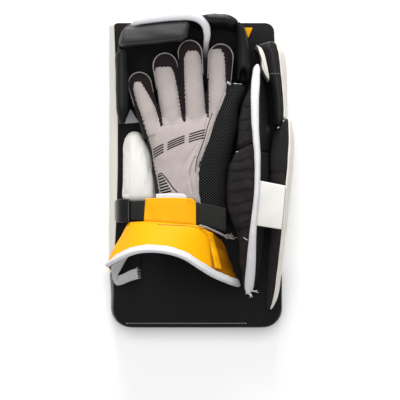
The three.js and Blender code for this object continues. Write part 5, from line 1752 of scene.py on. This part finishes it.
def addStrap():
    x = np.linspace(-75.5, 32.4, 110)[:, None]
    v = np.linspace(-1, 1, 15)[None]
    y = strapLine["middle"](x) + v * strapLine["half"](x)
    z = strapLine["z"](x) + strap["thick"] + 0.25 * np.cos(v * 3) + 0.3 * np.sin(x / 9) * v
    grid = np.stack([np.repeat(x, 15, 1), y, z], -1)
    addSheet("wristStrap", grid, strap["thick"], blackWebbing, "webbing", ["wrist_strap"])
    grid = strapGrid(-59.6, -1.6, -28.4, strap["thick"] + 0.5 + strap["sleeveSkin"], 70, 34)
    u, w = unitGrid(70, 34)
    edge = np.minimum(np.minimum(u, 1 - u) * 58, np.minimum(w, 1 - w) * 27)
    waves = ripple(grid.reshape(-1, 3), 21, 95).reshape(edge.shape)
    tucked = np.clip(1 - w / 0.12, 0, 1) ** 2
    grid[..., 2] += 0.7 * (1 - np.exp(-edge / 3)) - 0.35 + 0.35 * waves - 1.6 * tucked
    addSheet("strapSleeve", grid, strap["sleeveSkin"], yellowLeather, "yellow_leather", ["strap_sleeve"])
    grid = strapGrid(-47, -11, -23.4, -0.6, 60, 24)
    addSheet("sleeveLining", grid, strap["sleeveLining"], whiteTape, "binding", ["sleeve_lining"])
    line = evenPath(splinePath(keeperRows, 80), 1)
    shrink = 1 - arcInset(strap["keeperCorner"], line[:, :1] - line[:, 0].min()) / 12.8
    near, far = strap["keeperY"]
    y = (near + far) / 2 + (far - near) / 2 * shrink * np.linspace(-1, 1, 24)[None]
    grid = np.stack([np.repeat(line[:, :1], 24, 1), y, np.repeat(line[:, 2:], 24, 1)], -1)
    addSheet("strapKeeper", grid, strap["keeperThick"], glossyWebbing, "webbing", ["strap_keeper"])


addStrap()
print("strap is made")

# The white padded tongue between the board and the glove's little-finger edge

tongueRows = [  # y, left, right, high
    (-31, -87.6, -46.4, 51), (-7, -87.4, -48.6, 52.5), (12, -87, -51.2, 53), (28, -86.6, -55, 52.5),
    (40, -84.6, -61, 51), (47, -80.5, -65, 48), (50.5, -75.5, -69, 43),
]
tongue = {"pleats": [(-79.5, 0.45), (-70, 0.4)], "power": 0.62}
tongueLine = tableCurves(("left", "right", "high"), tongueRows)


def addTongue():
    rings = []
    angle = np.linspace(0, math.pi, 40)
    c, s = np.cos(angle), np.sin(angle)
    power, foot = tongue["power"], padBase + 4
    for y in np.linspace(-31, 50.5, 50):
        left, right, high = (float(curve(y)) for curve in tongueLine.values())
        x = (left + right) / 2 - (right - left) / 2 * np.sign(c) * np.abs(c) ** power
        z = foot + (high - foot) * np.abs(s) ** power
        corners = np.vstack([[left + 1, padBase], np.column_stack([x, z]), [right - 1, padBase]])
        rings.append(section(evenRing(corners, 72), y))
    piece = loft("sideTongue", roundEnds(rings, 4), tongueLeather)
    puffed(piece, lambda points: points[:, 2] < padBase + 3.5, voxel=4, pressure=4, cap=1.3, growth=0.015)
    points, normals = pointsOf(piece), normalsOf(piece)
    amount = 0.2 * ripple(points * [1, 0.35, 1], 16, 97)
    for at, depth in tongue["pleats"]:
        away = points[:, 0] - at - 0.018 * (points[:, 1] + 31) - 0.5 * ripple(points * [0, 1, 0], 60, 98)
        amount -= depth * np.exp(-(away / 1.1) ** 2) * np.clip((40 - points[:, 1]) / 20, 0, 1)
    displaced(piece, amount * np.clip(normals[:, 2] + 0.3, 0, 1))
    setMaterial(piece, tongueLeather)
    boxUv(piece)
    place(piece, "white_leather", ["side_tongue"], padding=0.7)


addTongue()
print("tongue is made")

# Small sewn and printed things, laid on the finished pieces under them


# Points seen in the photograph are given in its pixels; each is put where the camera sees it
def seenPath(marks, height, step=0.8):
    return evenPath(splinePath([photoMm(u, v, height) for u, v in marks], 60), step)


def withMiddle(a, b, sag=0):
    return [a, ((a[0] + b[0]) / 2, (a[1] + b[1]) / 2 - sag), b]


# Pieces under a drop are already on the board's curve, so what is laid on them is taken off it again
def unlifted(points):
    return 2 * np.array(points, float) - lifted(points)


# A thin raised strip that lies on a piece: ink, a flat seam, or a line of painted shadow
def laidStrip(name, pieces, lines, height, width, thick, material, slot):
    strips = []
    corners = np.array([(-1, -0.1), (-1, thick * 0.7), (-0.8, thick), (0.8, thick), (1, thick * 0.7),
                        (1, -0.1)])
    for k, marks in enumerate(lines):
        places, normals = droppedOn(pieces, seenPath(marks, height))
        side = unit(np.cross(np.gradient(places, axis=0), normals))
        across = side[:, None] * corners[None, :, :1] * width / 2
        rings = places[:, None] + across + normals[:, None] * (corners[None, :, 1:] + 0.05)
        strips.append(loft(f"{name}{k}", unlifted(rings), material))
    return place(joined(name, strips), slot)


def rowOn(pieces, plan):
    places, normals = droppedOn(pieces, plan)
    return unlifted(places), normals


def sewnOn(name, pieces, lines, height, material, slot, **sizes):
    rows = [rowOn(pieces, seenPath(marks, height, 0.6)) for marks in lines]
    return sewn(name, rows, material, slot, **sizes)


palmPrint = {"width": 1.4, "thick": 0.12, "hatchWidth": 1.8, "curveWidth": 1.2}
gripLines = [  # the first and last line of each group, from its left end to its right, and how many
    ((152.6, 150), (163.4, 144), (153.6, 157.6), (163.6, 151.4), 4),
    ((167.6, 142.8), (184.6, 135.6), (167.2, 149.6), (184.4, 142.2), 4),
    ((189.4, 134.4), (205.2, 129.6), (188.6, 142), (204.2, 137.6), 4),
]
hatchLines = [  # seven short bars by the wrist, and a plain curve beside them
    ((157.5, 177), (161.8, 175.2)), ((158, 179.8), (163.8, 177.7)), ((158.5, 182.6), (165.6, 180.2)),
    ((159, 185.4), (167.2, 182.8)), ((159.5, 188.2), (168.6, 185.6)), ((160, 191), (170, 188.2)),
    ((160.5, 193.6), (171.4, 190.8)),
]
hatchCurve = [(157.8, 175), (160.8, 173.1), (165.2, 177.2), (169.8, 183.2), (173.9, 188.9), (177.6, 192.4)]


def addPalmPrints():
    lines = []
    for a, b, c, d, count in gripLines:
        for t in np.linspace(0, 1, count):
            start, end = (np.array(p) * (1 - t) + np.array(q) * t for p, q in ((a, c), (b, d)))
            lines.append(withMiddle(start, end, 0.25))
    bars = [withMiddle(a, b) for a, b in hatchLines]
    for name, marks, height, width in (("palmGripLines", lines, 76, "width"),
                                       ("palmHatch", bars, 75, "hatchWidth"),
                                       ("palmCurveLine", [hatchCurve], 75, "curveWidth")):
        laidStrip(name, [palmLeather], marks, height, palmPrint[width], palmPrint["thick"], printInk, "suede")


def addPalmSewing():
    inner = shifted(evenPath(np.vstack([palmOutline, palmOutline[:1]]), 0.8)[:-1], -1.5)
    changes = np.nonzero(np.diff(inner[:, 1] > -22))[0] + 1
    runs = [run for run in np.split(inner, changes) if len(run) > 5 and run[0, 1] > -22]
    rows = [rowOn([palmLeather], run) for run in runs]
    sewn("palmStitches", rows, edgeThread, "suede", step=2.9, length=1.9, width=0.45, slant=0.2, clear=0.03)


fingerPiping = {
    "radius": 0.85, "heightShare": 0.35,
    "down": {"little": (22, 12), "ring": (24, 3), "middle": (5, 24), "index": (24, 26)},
     # left side, right side
}


def addFingerPiping():
    pieces = []
    for name, root, tip, width in fingerRows:
        axis = np.subtract(tip, root)
        length = float(norm(axis))
        axis = unit(axis)
        tipRound = width[1] * fingerForm["tipRound"]
        start = length - tipRound
        rows = []
        for side, down in zip((-1, 1), fingerPiping["down"][name]):
            for at in np.linspace(start - down, start, 16)[::-side]:
                rows.append((at, side * 0.985 * fingerAt(length, width, at)[2]))
            if side < 0:
                for turn in np.linspace(0, math.pi, 22)[1:-1]:
                    rows.append((start + (tipRound + 0.2) * math.sin(turn),
                                 -width[1] / 2 * 0.985 * math.cos(turn)))
        path = []
        for at, across in rows:
            _, closed, _, halfDepth, height = fingerAt(length, width, at)
            z = height + halfDepth * fingerPiping["heightShare"] * math.sqrt(max(0.1, 1 - closed ** 2))
            path.append((root[0] + axis[0] * at + axis[1] * across,
                         root[1] + axis[1] * at - axis[0] * across, z))
        path = evenPath(path, 1.2)
        share = np.abs(np.linspace(-1, 1, len(path)))
        radius = fingerPiping["radius"] * (1.05 - 0.65 * share ** 1.6)
        pieces.append(tube(f"piping{name}", path, radius, greyPiping))
    place(joined("fingertipPiping", pieces), "glove_knit")


thumbSeams = {
    "ink": [(212.6, 112.6), (208.2, 124.6), (203.9, 140.4), (200, 150.6), (196.5, 161.4), (195.6, 171.6)],
    "stitches": [(197.4, 146.4), (190.6, 160.6), (187.6, 170.2), (188, 180), (191.2, 193)],
    "seam": [(196.6, 155.6), (191, 165.2), (190.4, 174.6), (192.3, 186.4), (194.8, 193.4)],
}


def addThumbSewing():
    dense = seamLine[(seamLine[:, 1] > -30) & (seamLine[:, 1] < 93)]
    dense = evenPath(dense, 1) + [-0.5, 0]
    places, _ = droppedOn([palmLeather, gloveBack, thumbSleeve], dense)
    for window in (9, 15, 15):  # the first pass only fills dips, the others smooth
        heights = np.convolve(np.pad(places[:, 2], window // 2, "edge"), np.ones(window) / window, "valid")
        places[:, 2] = heights if window > 9 else np.maximum(heights, places[:, 2])
    place(tube("thumbSeamPiping", unlifted(places + [0, 0, 0.7]), 1.1, paleSuede), "suede")
    palm = [palmLeather]
    laidStrip("thumbSeamLine", palm, [thumbSeams["ink"]], 76, 0.95, 0.12, printInk, "suede")
    sewnOn("palmSeamStitches", palm, [thumbSeams["stitches"]], 76, whiteThread, "suede", step=2.9, length=2,
           width=0.7, clear=0.05)
    laidStrip("palmSeamLine", palm, [thumbSeams["seam"]], 76, 0.6, 0.08, suedeThread, "suede")


barTacks = [  # both ends in pixels, and the height
    ((227, 81.4), (230.8, 82.6), 70), ((227.6, 83), (231, 84.2), 70), ((233, 83.2), (237, 83.8), 70),
    ((238.6, 84), (241.4, 84), 70), ((242, 82.6), (244.4, 83.4), 70), ((236.8, 150.6), (238.2, 151.2), 90),
]
tackedPieces = (
    "thumbSleeve", "gloveBack", "indexSidePad", "upperThumbPad", "lowerThumbPad",
    "thumbWallPanel", "backCover")


# Bar tacks: short close rows of white thread where seams end
def addBarTacks():
    pieces = [bpy.data.objects[name] for name in tackedPieces]
    rows = [rowOn(pieces, seenPath(withMiddle(a, b), height, 0.4)) for a, b, height in barTacks]
    sewn("barTacks", rows, whiteThread, "binding", step=0.8, length=1.9, width=0.6, slant=1.1, clear=0.2)


rollSeams = {
    "end": [(130.6, 25.6), (127.6, 30.4), (124.4, 35.6), (121, 41.4), (119.2, 45.2)],
    "long": [(123, 45), (140, 44.2), (160, 42.4), (180, 39.4), (186, 37.8)],
    "knots": [withMiddle((118, 44.4), (119.2, 46.8)), withMiddle((117.6, 36.4), (118.2, 37.4))],
    "block": [[(256.8, 45.6), (262, 43.6), (268, 42), (274.6, 41.6)],
              [(269.6, 73.2), (275, 73.6), (281, 73)]],
}


def addRollSewing():
    top, side = bpy.data.objects["fingerTopRoll"], bpy.data.objects["fingerSideRoll"]
    sewnOn("rollEndStitches", [top], [rollSeams["end"]], 78, greyThread, "black_leather", step=2.9,
           length=1.5, width=0.55, clear=0.1)
    sewnOn("rollSeamStitches", [top], [rollSeams["long"]], 72, darkThread, "black_leather", step=3,
           length=2.2,
           width=0.5, clear=0.1)
    sewnOn("rollKnots", [top, side, backCover], rollSeams["knots"], 74, whiteThread, "binding", step=0.7,
           length=1.4,
           width=0.6, slant=1.2, clear=0.2)
    sewnOn("outerBlockStitches", [outerBlock, backCover], rollSeams["block"], 76, greyThread, "black_leather",
           step=2.8, length=1.8, width=0.6, clear=0.1)


cuffSeams = {
    "foldEdges": [
        [(207.6, 231.4), (209.6, 241), (212.9, 255.8), (215.4, 267.4)],
        [(212.6, 231.8), (215.8, 244.6), (219.6, 258.6), (222.2, 269.6)],
    ],
    "stitches": [
        [(132.6, 223.4), (126, 233), (119, 243.4), (112.2, 254.4)],
        [(134, 222.2), (150, 223.6), (170, 224.4), (190, 226), (206, 229)],
        [(207, 231.4), (208.8, 240.4), (211.8, 254.4), (214.2, 266)],
        [(218.4, 236), (226, 250), (232, 262), (237, 272)],
    ],
    "neckSeam": [(157.5, 224.4), (176, 225.4), (190, 226.2), (199, 227.8), (206, 229.8), (210.6, 232.2)],
    "neckBinding": [
        (199, 225.2, 89), (206, 227.2, 87), (212.9, 230.2, 82), (220.2, 233.6, 75), (225.6, 236.8, 67),
        (227.4, 238.6, 62),
    ],
    "sleevePiping": [(186.4, 196.6, 87), (193, 197.4, 87), (197.6, 200.6, 86), (200.8, 203.8, 83)],
    "sleeve": [
        [(146, 220.4), (160, 221), (178, 221.8), (193, 222.6)],
        [(146.2, 199.6), (160, 199.2), (178, 199.4), (194, 200.8)],
    ],
}
frayedEnds = {  # place, direction, spread, length and how many threads
    "neckFrays": [
        ((*photoMm(226, 236, 68), 68), (0.4, 1, 0), 0.4, 4, 6),
        ((*photoMm(227.6, 238, 62), 62), (1, 0.1, 0), 0.3, 9, 9),
    ],
    "thumbTapeFrays": [
        ((58.8, -134, 62), (-1, -0.3, 0), 0.5, 7, 6), ((60, -137, 60), (0.3, -1, 0), 0.5, 5, 6),
        ((62, -133.5, 64), (1, 0.1, 0), 0.3, 6, 3), ((55.6, -75, 95), (-1, 0.1, 0), 0.2, 3.5, 2),
        ((63.6, -75, 95), (1, 0.1, 0), 0.2, 3, 2),
    ],
}


def addCuffSewing():
    panel, side = bpy.data.objects["cuffPanel"], bpy.data.objects["cuffSidePanel"]
    edges = [droppedOn([panel, side], seenPath(line, 86, 0.5))[0] for line in cuffSeams["foldEdges"]]
    grid, across = between(*(e[np.linspace(0, len(e) - 1, 40).astype(int)] for e in edges))
    grid[..., 2] += 0.5 + 1.3 * np.sin(math.pi * across) ** 0.6
    strip = addSheet("cuffSeamFold", grid, 1, yellowLeather, "yellow_leather", [])
    small = {"step": 2.9, "length": 2.1, "width": 0.5, "clear": 0.08}
    sewnOn("cuffStitches", [panel, side, strip], cuffSeams["stitches"], 90, yellowThread, "yellow_leather",
           **small)
    # A dark strip along the neck seam: painted shadow between the sleeve and the cuff
    laidStrip("neckSeamLine", [panel, side], [cuffSeams["neckSeam"]], 88, 0.8, 0.1, seamShadowPaint,
              "yellow_leather")
    for name, radius in (("neckBinding", 1.2), ("sleevePiping", 0.85)):
        path = evenPath(splinePath([(*photoMm(u, v, z), z) for u, v, z in cuffSeams[name]], 60), 1.2)
        waves = ripple(path, 7, 101)[:, None] * [0.1, 0.25, 0.1]
        place(tube(name, path + waves, radius, greyPiping), "binding")
    frayed("neckFrays", frayedEnds["neckFrays"], greyPiping, 103, 0.3)
    frayed("thumbTapeFrays", frayedEnds["thumbTapeFrays"], whiteTape, 104, 0.35)
    sleeve = bpy.data.objects["strapSleeve"]
    sewnOn("sleeveStitches", [sleeve], cuffSeams["sleeve"], 86, yellowThread, "yellow_leather", **small)
addPalmPrints()
addPalmSewing()
addFingerPiping()
addThumbSewing()
addBarTacks()
addRollSewing()
addCuffSewing()
print("sewing is done")
